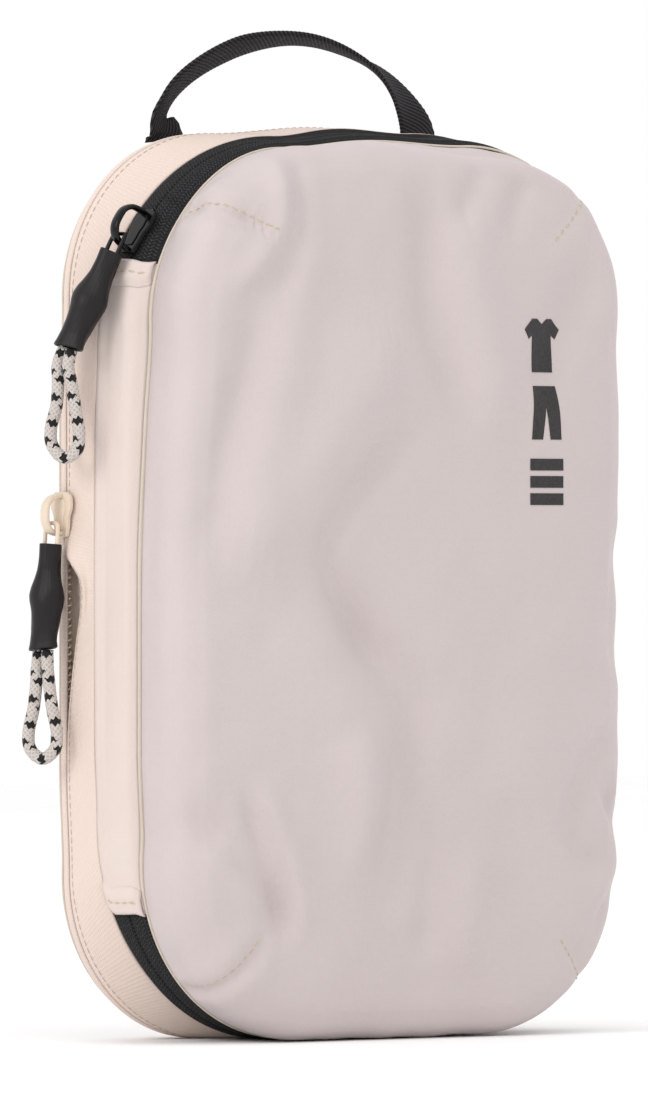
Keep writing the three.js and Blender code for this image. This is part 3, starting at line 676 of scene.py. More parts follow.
# The piping's cloth is the shell's own, painted lighter and yellower for the light that glows through its
# folded edge.
PIPING_PAINTED_GLOW = nylon("piping_nylon_painted_glow", tint(214, 203, 190), tint(202, 189, 174))
BINDING = ribbed_tape("binding_tape", tint(200, 192, 178), tint(182, 174, 158), 0.8 * MM, 0.08 * MM)
CREAM_TAPE = ribbed_tape("cream_zip_tape", tint(226, 208, 198), tint(214, 195, 184), 1.1 * MM, 0.07 * MM)
BLACK_TAPE = chevron_tape("black_zip_tape", tint(108, 107, 110), tint(26, 26, 27))
WEBBING = twill_webbing("black_webbing", tint(70, 65, 70), tint(14, 13, 14))
BLACK_COIL = moulded_nylon("black_zip_coil", tint(40, 40, 42), tint(20, 20, 22))
CREAM_COIL = moulded_nylon("cream_zip_coil", tint(236, 220, 202), tint(220, 202, 182))
BLACK_ENAMEL = enamel("black_slider_enamel", tint(8, 8, 9), tint(4, 4, 5), 0.16, 0.0)
CREAM_ENAMEL = enamel("cream_slider_enamel", tint(224, 208, 190), tint(212, 194, 174), 0.34, 0.1)
SLEEVE = shrunk_rubber("shrunk_sleeve")
CORD = braided_cord("braided_cord")
PALE_THREAD = thread("pale_thread", tint(206, 192, 164), tint(190, 174, 142))
TAN_THREAD = thread("tan_thread", tint(208, 188, 172), tint(194, 172, 154))
INK = printed_ink("printed_ink")
FLOOR = pale_floor("studio_floor")


# ---------- camera ----------
def make_camera():
    """Level, well back and to the left of the front, with the object almost filling the frame."""
    azimuth = math.radians(-38)
    distance = 3.5
    frame_height = 317.3 * MM
    sensor = 36.0
    data = bpy.data.cameras.new("camera")
    data.sensor_width = sensor
    data.lens = sensor * distance / frame_height
    data.clip_start, data.clip_end = 0.1, 50
    camera = bpy.data.objects.new("camera", data)
    bpy.context.scene.collection.objects.link(camera)
    back = Vector((math.sin(azimuth), -math.cos(azimuth), 0))
    right = Vector((math.cos(azimuth), math.sin(azimuth), 0))
    target = Vector((0, 0, 141.8 * MM)) + right * 1.45 * MM
    camera.location = target + back * distance
    camera.rotation_euler = (-back).to_track_quat("-Z", "Y").to_euler()
    bpy.context.scene.camera = camera


# ---------- pulls: where they hang ----------
# Each slider's half length, how far its crown reaches along and up, and its link's crossbar.
MAIN_SLIDER = {"half_length": 7.2, "crown": (-7, 6, 10), "eye": (-4.2, 6.3)}
COMPRESSION_SLIDER = {"half_length": 6.4, "crown": (-6, 5.6, 8), "eye": (-2.6, 4.7)}
MAIN_SLIDER_ANGLE = 32
MAIN_LINK_LENGTH = 5.3 * MM
COMPRESSION_LINK_LENGTH = 5.7 * MM
SLEEVE_LENGTH = 30 * MM
CORD_RADIUS = 1.8 * MM


def slider_frame(seat, turn_degrees):
    """Turns a slider's own x, y, z (along the zip, across it, outwards) into the row frame."""
    turn = math.radians(turn_degrees)
    along = Vector((math.cos(turn), 0, -math.sin(turn)))
    outwards = Vector((math.sin(turn), 0, math.cos(turn)))

    def place(x, y, z):
        return seat + along * x + Vector((0, 1, 0)) * y + outwards * z
    return place


def eye_of(size, place):
    along, outwards = size["eye"]
    return place(along * MM, 0, outwards * MM)


main_slider_seat = Vector(skin(upper_left(MAIN_SLIDER_ANGLE), MAIN_ZIP_Y))
compression_slider_seat = Vector(skin(left_side(151 * MM), COMPRESSION_ZIP_Y))
main_slider_at = slider_frame(main_slider_seat, MAIN_SLIDER_ANGLE - 90)
compression_slider_at = slider_frame(compression_slider_seat, -90)
main_eye = eye_of(MAIN_SLIDER, main_slider_at)
compression_eye = eye_of(COMPRESSION_SLIDER, compression_slider_at)
main_pull_direction = Vector((-12.6, 7.4, -32.2)).normalized()
compression_pull_direction = Vector((-3.2, 0, -36.2)).normalized()
main_sleeve_top = main_eye + main_pull_direction * (MAIN_LINK_LENGTH + 0.3 * MM)
compression_sleeve_top = compression_eye + compression_pull_direction * (COMPRESSION_LINK_LENGTH + 0.3 * MM)


# ---------- cords ----------
def cord_route(sleeve_end, direction):
    """Out of the sleeve, round and back into it."""
    side = [(1.95, 0.3), (1.95, 5), (2.1, 11), (3, 17.5), (4.4, 24), (3.8, 28.6)]
    spread = Vector((-0.5, 0.87, 0))
    loop_end = 31.4

    def place(apart, along):
        settle = float(smooth(along, 0, 14))
        heading = direction.lerp(-UP, settle * 0.9).normalized()
        turned = Vector((0, 1, 0)).lerp(spread, float(smooth(along, 0, 10)))
        return sleeve_end + heading * along * MM + turned * apart * MM

    def across(apart, along):
        return place(apart, along - apart * direction.y)
    points = [across(-y, along) for y, along in side]
    points.append(place(0, loop_end))
    points += [across(y, along) for y, along in reversed(side)]
    return smooth_path(points, 72)


def make_cord(name, sleeve_end, direction, body, node):
    """The free loop of braided cord below a sleeve."""
    route = cord_route(sleeve_end, direction)
    piece = tube(name, route, CORD_RADIUS, CORD, sides=20)
    finish_piece(piece, body, "pull_cord", node)
    tuple(route[0])
    [tuple(p) for p in route]


# ---------- front and back panels ----------
def edge_profile(seam_y, courses):
    """Depth and inset of a panel's shoulder, from its seam inwards, and the way along it."""
    control = [(seam_y, 0.0), *[(seam_y + y * MM, inset * MM) for y, inset in courses]]
    control.append((2 * control[-1][0] - control[-2][0], 2 * control[-1][1] - control[-2][1]))
    path = smooth_path(control, 90)
    end = np.argmin(np.abs(path[:, 1] - courses[-1][1] * MM))
    keep = path[:end + 1]
    along = np.concatenate([[0], np.cumsum(np.linalg.norm(np.diff(keep, axis=0), axis=1))])
    return keep, along


def square_ring(a, b):
    """The arc length on the outline, and how far in, for a point of the unit square."""
    reach = max(abs(a), abs(b))
    if reach < 1e-9:
        return 0.0, 0.0
    a, b = a / reach, b / reach
    half_level = (CORNER_ARC + LEVEL_LENGTH) / 2
    bottom_middle = TOP_MIDDLE + PERIMETER / 2
    if b >= 1 - 1e-9:
        s = TOP_MIDDLE + a * half_level
    elif b <= -1 + 1e-9:
        s = bottom_middle - a * half_level
    elif a > 0:
        s = mix(TOP_MIDDLE + half_level, bottom_middle - half_level, (1 - b) / 2)
    else:
        s = mix(bottom_middle + half_level, PERIMETER + TOP_MIDDLE - half_level, (1 + b) / 2)
    return s, reach


def panel_points(seam_y, crown_y, courses, fullness, cells):
    """The smooth form of a panel on a square grid, with flat cloth coordinates."""
    profile, along = edge_profile(seam_y, courses)
    shoulder_end = along[-1]
    shoulder_share = 0.3
    ring_inset = profile[-1, 1]
    crown = crown_y - profile[-1, 0]
    points = np.zeros((cells + 1, cells + 1, 3))
    flat = np.zeros((cells + 1, cells + 1, 2))
    for i, b in enumerate(np.linspace(-1, 1, cells + 1)):
        for j, a in enumerate(np.linspace(-1, 1, cells + 1)):
            s, reach = square_ring(a, b)
            x, z, nx, nz = outline(s, np.interp(seam_y, SKIN_Y, CORNER_RADIUS))
            base = skin_inset(seam_y, nz) + left_draw_in(s, seam_y)
            share = corner_share(s, seam_y)
            drawn = top_draw_in(s) if seam_y < 0 else 0.0
            inner = base + ring_inset + drawn
            ring = np.array([x - inner * nx, z - inner * nz])
            inwards = 1 - reach
            if inwards < shoulder_share:
                way = shoulder_end * inwards / shoulder_share
                from_seam = way / shoulder_end
                depth = np.interp(way, along, profile[:, 0]) - CORNER_FORWARD * share * (1 - from_seam)
                inset = base + np.interp(way, along, profile[:, 1])
                inset += drawn * float(smooth(from_seam, 0, 0.35))
                inset -= CORNER_OUTWARD * share * (1 - float(smooth(from_seam, 0, 0.35)))
                points[i, j] = (x - inset * nx, depth, z - inset * nz)
                out = shoulder_end - way
                flat[i, j] = (ring[0] + nx * out, ring[1] + nz * out)
            else:
                scale = 1 - (inwards - shoulder_share) / (1 - shoulder_share)
                px = ring[0] * scale
                pz = MIDDLE_Z + (ring[1] - MIDDLE_Z) * scale
                depth = profile[-1, 0] + crown * (1 - scale ** fullness)
                points[i, j] = (px, depth, pz)
                flat[i, j] = (px, pz)
    return points, flat


def grid_normals(points, outwards_y):
    along = np.gradient(points, axis=1)
    up = np.gradient(points, axis=0)
    normal = np.cross(along, up)
    normal /= np.linalg.norm(normal, axis=2, keepdims=True) + 1e-12
    middle = points.shape[0] // 2
    if normal[middle, middle, 1] * outwards_y < 0:
        normal = -normal
    return normal


def fold_relief(flat, points, depth, width, lean=0.0):
    """One soft fold in the cloth along a line of points, in millimetres.

    depth is negative for a valley. lean raises a ridge on the fold's left side."""
    line = resample(smooth_path(np.array(points, float) * MM, 60), 60)
    spots = flat.reshape(-1, 2)
    gaps = spots[:, None, :] - line[None, :, :]
    squares = (gaps ** 2).sum(axis=2)
    nearest = squares.argmin(axis=1)
    way = nearest / (len(line) - 1)
    tangent = np.gradient(line, axis=0)
    tangent /= np.linalg.norm(tangent, axis=1, keepdims=True)
    offset = gaps[np.arange(len(spots)), nearest]
    side = tangent[nearest, 0] * offset[:, 1] - tangent[nearest, 1] * offset[:, 0]
    distance = np.sqrt(squares.min(axis=1))
    fade = smooth(way, 0, 0.25) * smooth(1 - way, 0, 0.25)
    breadth = width * MM
    height = depth * MM * np.exp(-(distance / breadth) ** 2)
    ridge = lean * MM * np.exp(-((side - 1.7 * breadth) / (1.3 * breadth)) ** 2) * (distance < 5 * breadth)
    ridge *= np.exp(-((distance - np.abs(side)) / breadth) ** 2)
    return ((height + ridge) * fade).reshape(flat.shape[:2])


# Every fold's height is multiplied by this.
FOLD_STRENGTH = 1.6
# Soft folds of each panel: line (x, z in mm), height, width and the ridge beside it, all in mm.
FRONT_FOLDS = [
    ([(-46, 262), (-47, 250), (-48.5, 234), (-57, 223), (-70, 210)], 1.5, 4.0, 0.0),
    ([(-40, 258), (-42, 240), (-45, 226), (-54, 208)], -1.2, 4.0, 0.0),
    ([(-62, 256), (-66, 246), (-64, 234)], 0.8, 5.0, 0.0),
    ([(-53, 222), (-58, 197), (-67, 168), (-74, 128)], -2.0, 7.0, 0.0),
    ([(-38, 250), (-42, 225), (-50, 195), (-60, 160), (-66, 132)], 1.4, 10.0, 0.0),
    ([(0, 206), (-25, 182), (-48, 155), (-70, 130)], 2.6, 13.0, 0.0),
    ([(6, 178), (-14, 168), (-28, 154), (-35, 141), (-24, 120), (-5, 99)], -1.8, 5.0, 0.0),
    ([(-34, 140), (-20, 118), (-4, 98), (-10, 66), (-12, 30)], -2.2, 8.0, 0.0),
    ([(-50, 128), (-34, 104), (-20, 80), (-18, 50)], 1.6, 10.0, 0.0),
    ([(3, 254), (5, 235), (4, 212), (12, 190), (22, 172)], -2.0, 7.0, 0.0),
    ([(18, 246), (22, 215), (28, 188), (34, 172)], 1.6, 9.0, 0.0),
    ([(70, 228), (60, 212), (50, 198), (46, 180)], -1.8, 8.0, 0.0),
    ([(44, 250), (38, 240), (34, 230)], -1.2, 4.0, 0.0),
    ([(30, 254), (20, 242), (16, 232)], -1.0, 4.0, 0.0),
    ([(-64, 76), (-56, 58), (-50, 44), (-46, 26)], -1.6, 3.5, 1.0),
    ([(-84, 70), (-66, 56), (-52, 42), (-42, 28)], -1.6, 5.0, 0.0),
    ([(-74, 60), (-62, 46), (-54, 36)], 1.2, 6.0, 0.0),
    ([(-28, 92), (-20, 66), (-24, 40)], 1.4, 8.0, 0.0),
    ([(2, 70), (4, 44), (2, 20)], -1.1, 5.0, 0.0),
    ([(18, 60), (20, 38), (16, 16)], 0.9, 6.0, 0.0),
    ([(86, 92), (70, 84), (58, 66), (60, 52), (84, 50)], -1.6, 5.0, 0.0),
    ([(80, 70), (72, 64)], -1.8, 8.0, 0.0),
    ([(86, 46), (72, 34), (56, 18)], -1.3, 4.0, 0.0),
    ([(84, 150), (76, 120), (82, 100)], -1.2, 7.0, 0.0),
    ([(60, 130), (44, 100), (40, 60)], 1.0, 14.0, 0.0),
]
BACK_FOLDS = [
    ([(-50, 240), (-30, 200), (-36, 150), (-20, 100)], -1.8, 9.0, 0.0),
    ([(40, 245), (52, 200), (38, 150), (50, 90)], -1.6, 8.0, 0.0),
    ([(-60, 40), (-40, 70), (-10, 80), (20, 66)], -1.5, 7.0, 0.0),
    ([(64, 44), (44, 64), (30, 90)], -1.4, 5.0, 0.0),
    ([(-10, 220), (8, 180), (0, 140)], 1.6, 12.0, 0.0),
]
# Each corner's dart: from the seam to its inner end, and how far the cloth stands up beside it.
DARTS = [
    ((-81, 247), (-49.5, 229.5), 1.6),
    ((76, 254), (50, 230), 0.3),
    ((-78, 4), (-54, 30), 1.3),
    ((78, 4), (54, 30), 0.3),
]


def dart_relief(flat, start, end, fullness):
    """A sharp pinched crease that dies away at its inner end."""
    start, end = np.array(start) * MM, np.array(end) * MM
    axis = end - start
    length = np.linalg.norm(axis)
    axis /= length
    offset = flat - start
    along = (offset @ axis) / length
    away = np.abs(offset @ np.array([-axis[1], axis[0]]))
    fade = smooth(1.12 - along, 0, 0.3) * (along > -0.1)
    pinch = -1.4 * fullness * MM * np.exp(-(away / (1.3 * MM)) ** 2)
    swell = fullness * MM * np.exp(-((away - 5 * MM) / (4 * MM)) ** 2)
    return (pinch + swell) * fade


def crumple(points, size, seed):
    """Gentle unevenness of cloth, the same on every run."""
    shift = Vector((seed, seed * 1.7, seed * 0.6))
    flat = points.reshape(-1, 3)
    values = [noise.noise(Vector(p) / size + shift) for p in flat]
    return np.array(values).reshape(points.shape[:2])


def seam_pucker(points, seam_y, period, reach):
    """The small gathers that a seam's stitching pulls into the cloth beside it."""
    wave = np.sin(2 * math.pi * (points[..., 0] + points[..., 2] * 0.9) / period)
    from_seam = np.abs(points[..., 1] - seam_y)
    return wave * np.exp(-from_seam / reach)


def make_panel(name, form, outwards_y, folds, seed):
    """A panel's cloth: its smooth form with folds, darts, crumples and seam gathers pushed into it."""
    points, flat = form
    seam_y = points[0, 0, 1]
    normal = grid_normals(points, outwards_y)
    height = np.zeros(points.shape[:2])
    for line, depth, width, lean in folds:
        height += FOLD_STRENGTH * fold_relief(flat, line, depth, width, lean)
    for start, end, fullness in DARTS:
        height += dart_relief(flat, start, end, fullness)
    height += 0.9 * MM * crumple(points, 34 * MM, seed)
    height += 0.35 * MM * crumple(points, 11 * MM, seed + 3)
    height += 0.22 * MM * seam_pucker(points, seam_y, 6.5 * MM, 3.5 * MM)
    from_seam = np.abs(points[..., 1] - seam_y)
    height *= smooth(from_seam, 0, 5 * MM) * 0.999 + 0.001
    points = points + normal * height[..., None]
    piece = grid(name, points, flat, SHELL)
    thicken(piece, 0.45 * MM, offset=-1.0 if outwards_up(piece, outwards_y) else 1.0, subdivisions=1)
    return piece, cloth_finder(points, normal, flat)


def outwards_up(piece, outwards_y):
    """Whether the piece's faces look outwards."""
    total = sum(p.normal.y * p.area for p in piece.data.polygons)
    return total * outwards_y > 0


FRONT_COURSES = [(-6, -0.8), (-13, -0.8), (-18, 2), (-21.5, 7.5)]
BACK_COURSES = [(3.5, 3), (6, 5.5), (7.8, 11)]


def front_panel():
    form = panel_points(FRONT_SEAM_Y, FRONT_CROWN_Y, FRONT_COURSES, 2.4, 128)
    piece, find = make_panel("front_shell", form, -1, FRONT_FOLDS, 2.3)
    finish_piece(piece, "lid", "shell_fabric", "front_panel")
    dart_stitches(piece, find, "lid", "front")
    return piece


def back_panel():
    form = panel_points(BACK_SEAM_Y, BACK_CROWN_Y, BACK_COURSES, 2.2, 72)
    piece, find = make_panel("back_shell", form, 1, BACK_FOLDS, 7.1)
    finish_piece(piece, "rear", "shell_fabric", "back_panel")
    dart_stitches(piece, find, "rear", "back")


def surface_finder(piece, from_y, direction_y):
    """Finds the point and normal on a piece straight in front of or behind (x, z)."""
    bpy.context.view_layer.update()
    tree = BVHTree.FromObject(piece, bpy.context.evaluated_depsgraph_get())

    def find(x, z):
        point, normal, _, _ = tree.ray_cast(Vector((x, from_y, z)), Vector((0, direction_y, 0)))
        if point is None:
            point, normal, _, _ = tree.find_nearest(Vector((x, from_y * 0.5, z)))
        if normal.y * direction_y > 0:
            normal = -normal
        return point, normal
    return find


def cloth_finder(piece_points, normals, flat):
    """Finds the point and normal of a panel at a place on its flat cloth."""
    places = flat.reshape(-1, 2)
    tree = kdtree.KDTree(len(places))
    for k, (a, b) in enumerate(places):
        tree.insert((a, b, 0), k)
    tree.balance()
    spots = piece_points.reshape(-1, 3)
    directions = normals.reshape(-1, 3)

    def find(a, b):
        near = tree.find_n((a, b, 0), 4)
        weights = np.array([1 / (distance + 0.05 * MM) ** 2 for _, _, distance in near])
        weights /= weights.sum()
        rows = [k for _, k, _ in near]
        return weights @ spots[rows], weights @ directions[rows]
    return find


def dart_stitches(piece, find, body, side_name):
    """A row of fine thread along each dart, just beside its crease, on the finished cloth."""
    tree = BVHTree.FromObject(piece, bpy.context.evaluated_depsgraph_get())

    def settled(point, normal):
        normal = Vector(normal).normalized()
        surface, _, _, _ = tree.ray_cast(Vector(point) + normal * 5 * MM, -normal)
        return Vector(point) if surface is None else surface
    rows = []
    for number, (start, end, _) in enumerate(DARTS):
        start, end = np.array(start) * MM, np.array(end) * MM
        axis = (end - start) / np.linalg.norm(end - start)
        beside = np.array([-axis[1], axis[0]]) * 1.4 * MM
        found = [find(*(start + (end - start) * t + beside)) for t in np.linspace(0.1, 0.97, 40)]
        path = [settled(*spot) for spot in found]
        normal = Vector(np.mean([direction for _, direction in found], axis=0))
        rows.append(stitches(f"{side_name}_dart_{number}", path, lambda p, n=normal: n, PALE_THREAD,
                             length=1.9 * MM, gap=0.8 * MM, radius=0.22 * MM))
    piece = joined(f"{side_name}_dart_stitches", rows)
    return finish_piece(piece, body, "binding_tape")


# ---------- printed pictogram ----------
def printed_mark(find):
    """A shirt, a pair of trousers and a folded stack, one above another."""
    shirt = [(-0.5, 0.3), (-0.28, 0.5), (-0.14, 0.5), (0, 0.4), (0.14, 0.5), (0.28, 0.5), (0.5, 0.3),
             (0.38, 0.12), (0.28, 0.2), (0.28, -0.5), (-0.28, -0.5), (-0.28, 0.2), (-0.38, 0.12)]
    trousers = [(-0.3, 0.5), (0.3, 0.5), (0.38, -0.5), (0.1, -0.5), (0, 0.12), (-0.1, -0.5), (-0.38, -0.5)]
    bar = [(-0.42, 0.11), (0.42, 0.11), (0.42, -0.11), (-0.42, -0.11)]
    centre_x = 46.8 * MM
    size = 15.5 * MM
    shapes = [(shirt, 200 * MM), (trousers, 180.5 * MM)]
    shapes += [(bar, (165.5 - 5 * k) * MM) for k in range(3)]
    pieces = []
    for number, (shape, centre_z) in enumerate(shapes):
        outline_points = [(centre_x + x * size, centre_z + z * size) for x, z in shape]
        pieces.append(decal(f"printed_{number}", outline_points, find))
    piece = joined("printed_pictogram", pieces)
    return finish_piece(piece, "lid", "black_webbing")


def decal(name, outline_points, find):
    """A flat shape laid on the panel, cut fine enough to follow it."""
    flat = [Vector((x, z, 0)) for x, z in outline_points]
    triangles = [tuple(t) for t in tessellate_polygon([flat])]
    mesh = bpy.data.meshes.new(name)
    mesh.from_pydata([tuple(p) for p in flat], [], triangles)
    piece = bpy.data.objects.new(name, mesh)
    bpy.context.scene.collection.objects.link(piece)
    finer = piece.modifiers.new("finer", "SUBSURF")
    finer.subdivision_type = "SIMPLE"
    finer.levels = 4
    freeze(piece)
    for vertex in piece.data.vertices:
        point, normal = find(vertex.co.x, vertex.co.y)
        vertex.co = point + normal * 0.09 * MM
    piece.data.materials.append(INK)
    piece.data.update()
    facing_front = sum(p.normal.y for p in piece.data.polygons) < 0
    return thicken(piece, 0.07 * MM, offset=1.0 if facing_front else -1.0)


# ---------- bands of tape and cloth round the body ----------
def band(name, run, depths, below, material, closed=False, thickness=TAPE_THICKNESS,
         lift=lambda s, y: 0.0, shift=lambda s, y: 0.0):
    """A strip that follows the skin. lift pushes it outwards, shift moves it in depth."""
    columns = run[:-1] if closed else run
    points = np.array([[skin(s, y, below - lift(s, y)) + (0, shift(s, y), 0) for s in columns]
                       for y in depths])
    across = np.concatenate([[0], np.cumsum(np.abs(np.diff(depths)))])
    uvs = np.array([[(s, v) for s in run] for v in across])
    piece = grid(name, points, uvs, material, closed)
    face_outwards(piece)
    return thicken(piece, thickness)


def face_outwards(piece):
    """Turns a band's faces away from the body's middle."""
    centre = Vector((0, 0, MIDDLE_Z))
    total = 0.0
    for polygon in piece.data.polygons:
        away = polygon.center - centre
        away.y = 0
        total += polygon.normal.dot(away) * polygon.area
    if total < 0:
        piece.data.flip_normals()


def depths_between(start, end, spacing=1.1 * MM):
    return np.linspace(start, end, max(2, round(abs(end - start) / spacing)) + 1)


FINE = 2.0 * MM
ZIP_RUN = steps(upper_left(ZIP_UPPER_END), lower_left(ZIP_LOWER_END), FINE)
LID_ZIP_RUN = steps(upper_left(LID_TAPE_START), lower_left(ZIP_LOWER_END), FINE)
LID_LOOSE_RUN = steps(upper_left(ZIP_UPPER_END), upper_left(LID_TAPE_START), FINE)
SPINE_RUN = steps(lower_left(ZIP_LOWER_END), PERIMETER + upper_left(ZIP_UPPER_END), FINE)
ALL_ROUND = np.linspace(0, PERIMETER, round(PERIMETER / FINE) + 1)
ZIP_LIP = 0.25 * MM


def lip(edge_y, depth=0.16 * MM, reach=0.7 * MM):
    """A tape's edge rolls down where it meets the other half of the zip."""
    return lambda s, y: -depth * math.exp(-(abs(y - edge_y) / reach) ** 2)


def main_zip_tapes():
    lid_depths = depths_between(FRONT_SEAM_Y + 0.3 * MM, MAIN_ZIP_Y - ZIP_LIP, 0.7 * MM)
    body_depths = depths_between(MIDDLE_SEAM_Y - 0.3 * MM, MAIN_ZIP_Y + ZIP_LIP, 0.7 * MM)
    roll = lip(MAIN_ZIP_Y)
    lid = band("zip_tape_lid", LID_ZIP_RUN, lid_depths, 0, BLACK_TAPE, lift=roll)
    finish_piece(lid, "lid", "black_zip_tape", "main_tape_front")
    loose = band("zip_tape_lid_end", LID_LOOSE_RUN, lid_depths, 0, BLACK_TAPE, lift=roll)
    loose_piece(loose, "main_tape_front_end")
    body = band("zip_tape_body", ZIP_RUN, body_depths, 0, BLACK_TAPE, lift=roll)
    finish_piece(body, "middle", "black_zip_tape", "main_tape_rear")


def coil_helix(name, run, near_y, side, material, depth=2.0 * MM, shift=lambda s: 0.0):
    """A zip's coil: one filament wound round beside the tape's edge."""
    pitch = 2.0 * MM
    turns_per_step = 8
    length = run[-1] - run[0]
    count = max(2, int(length / pitch * turns_per_step))
    half_width, half_height = 1.0 * MM, 0.62 * MM
    path = []
    for i in range(count + 1):
        s = run[0] + length * i / count
        angle = 2 * math.pi * i / turns_per_step
        y = near_y + side * (half_width + half_width * math.cos(angle)) + shift(s)
        path.append(skin(s, y, depth - half_height * math.sin(angle)))
    return tube(name, path, 0.3 * MM, material, sides=5)


def main_zip_coils():
    near = 0.5 * MM
    coil_start, stop_end = 30, 29
    lid = coil_helix("zip_coil_lid", LID_ZIP_RUN, MAIN_ZIP_Y - near, -1, BLACK_COIL)
    finish_piece(lid, "lid", "black_zip_coil", "main_coil_front")
    loose = coil_helix("zip_coil_lid_end", LID_LOOSE_RUN, MAIN_ZIP_Y - near, -1, BLACK_COIL)
    loose_piece(loose, "main_coil_front_end")
    body_run = steps(upper_left(coil_start), lower_left(coil_start), FINE)
    body = coil_helix("zip_coil_body", body_run, MAIN_ZIP_Y + near, 1, BLACK_COIL)
    finish_piece(body, "middle", "black_zip_coil", "main_coil_rear")
    for name, place, zip_end in [("upper", upper_left, ZIP_UPPER_END), ("lower", lower_left, ZIP_LOWER_END)]:
        ends = sorted((place(zip_end), place(stop_end)))
        path = [skin(s, MAIN_ZIP_Y + 1.4 * MM, 2 * MM) for s in np.linspace(*ends, 8)]
        stop = tube(f"zip_stop_{name}", path, rounded_ends(8, 0.75 * MM), BLACK_COIL, sides=10)
        finish_piece(stop, "middle", "black_zip_coil", f"main_zip_stop_{name}")


def rounded_ends(count, radius):
    t = np.linspace(-1, 1, count)
    return radius * np.sqrt(np.clip(1 - t ** 6, 0.12, 1))


def strip_bow(y, height):
    """How far the cream strip stands out between its two seams."""
    return height * math.cos((y - MAIN_ZIP_Y) / (14 * MM) * math.pi)


def spine_strip():
    """The cream strip that the lid hinges on, in one piece across the fold."""
    depths = depths_between(FRONT_SEAM_Y + 0.2 * MM, MIDDLE_SEAM_Y - 0.2 * MM, 0.8 * MM)

    def lift(s, y):
        ripples = 0.35 * MM * noise.noise(Vector((s * 18, y * 160, 3.1)))
        return ripples + strip_bow(y, 0.5 * MM)
    strip = band("spine_strip", SPINE_RUN, depths, 0, SPINE_PAINTED_LIGHT, lift=lift)
    fold_piece(strip, "spine_fabric", "spine_front", "spine_rear")


def end_tabs():
    """Folded ends of the cream strip, stitched down over the two ends of the black zip."""
    depths = depths_between(FRONT_SEAM_Y + 0.3 * MM, MIDDLE_SEAM_Y - 0.3 * MM, 0.8 * MM)
    spans = {"upper": (PERIMETER + upper_left(TAB_END - 1), PERIMETER + upper_left(ZIP_UPPER_END + 0.5)),
             "lower": (lower_left(ZIP_LOWER_END + 0.5), lower_left(TAB_END - 1))}
    for name, (start, end) in spans.items():
        run = np.linspace(start, end, 14)
        fold = end if name == "upper" else start

        def lift(s, y, fold=fold, start=start, end=end):
            from_fold = abs(s - fold)
            sink = float(smooth(abs(s - (start + end - fold)), 0, 2.5 * MM))
            return strip_bow(y, 0.45 * MM) + 1.15 * MM * sink * float(smooth(from_fold, -1 * MM, 0.8 * MM))
        tab = band(f"end_tab_{name}", run, depths, -0.1 * MM, SPINE_PAINTED_LIGHT, thickness=0.7 * MM, lift=lift)
        fold_piece(tab, "spine_fabric", f"zip_end_tab_{name}")
        inside = -1 if name == "upper" else 1
        s = fold + inside * 3 * MM
        path = [skin(s, y, -1.3 * MM - strip_bow(y, 0.45 * MM))
                for y in np.linspace(FRONT_SEAM_Y + 1.5 * MM, MIDDLE_SEAM_Y - 1.2 * MM, 14)]
        row = stitches(f"end_tab_{name}_stitches", path, outward_normal, PALE_THREAD, length=1.8 * MM)
        fold_piece(row, "binding_tape")


def outward_normal(point):
    """Roughly outwards from the body's middle, level in depth."""
    x, z = point.x, point.z
    cx = math.copysign(min(abs(x), HALF_WIDTH - ZIP_RADIUS), x)
    cz = min(max(z, ZIP_RADIUS), HEIGHT - ZIP_RADIUS)
    away = Vector((x - cx, 0, z - cz))
    return away if away.length > 1e-6 else Vector((0, 0, 1))


# How far the front tape has sprung forwards below the slider, at each height.
UNCLOSED_Z = np.array([80, 88, 96, 106, 116, 123, 129, 133, 136.5, 139.5, 143]) * MM
UNCLOSED_SHIFT = np.array([0, -0.2, -1, -2.8, -5, -6.8, -7.4, -6.6, -4, -1.2, 0]) * MM


def unclosed(s):
    z = left_height(s)
    return 0.0 if z is None else float(np.interp(z, UNCLOSED_Z, UNCLOSED_SHIFT))


def compression_tapes():
    """Both halves of the cream zip tape. Below the slider the front half has sprung away."""
    front_edge = COMPRESSION_ZIP_Y - ZIP_LIP
    rear_edge = COMPRESSION_ZIP_Y + ZIP_LIP
    roll = lip(COMPRESSION_ZIP_Y, 0.45 * MM, 0.8 * MM)

    def share(y):
        return float(smooth(y, MIDDLE_SEAM_Y + 0.5 * MM, front_edge))

    def front_shift(s, y):
        return unclosed(s) * share(y)

    def front_lift(s, y):
        z = left_height(s)
        lobe = 0.0
        if z is not None:
            place = math.exp(-((z - 139 * MM) / (6 * MM)) ** 2)
            rise = 2.6 * MM * float(smooth(y, -6 * MM, 1 * MM))
            fall = 1.2 * MM * float(smooth(y, 0.5 * MM, 3.7 * MM))
            lobe = place * (rise - fall)
            lobe += 0.6 * MM * share(y) * -unclosed(s) / (7 * MM)
        return roll(s, y) + lobe
    run = np.concatenate([ALL_ROUND[ALL_ROUND < left_side(66 * MM)],
                          np.linspace(left_side(66 * MM), left_side(150 * MM), 110),
                          ALL_ROUND[ALL_ROUND > left_side(151 * MM)]])
    front_depths = depths_between(MIDDLE_SEAM_Y + 0.1 * MM, front_edge, 0.55 * MM)
    front = band("compression_tape_body", run, front_depths, 0, CREAM_TAPE, closed=True,
                 lift=front_lift, shift=front_shift)
    finish_piece(front, "middle", "cream_zip_tape", "compression_tape_front")
    rear_depths = depths_between(rear_edge, BACK_SEAM_Y - 0.3 * MM, 0.9 * MM)
    rear = band("compression_tape_back", ALL_ROUND, rear_depths, 0, CREAM_TAPE, closed=True, lift=roll)
    finish_piece(rear, "rear", "cream_zip_tape", "compression_tape_rear")
    edge_stitching(front_shift, front_lift, run)


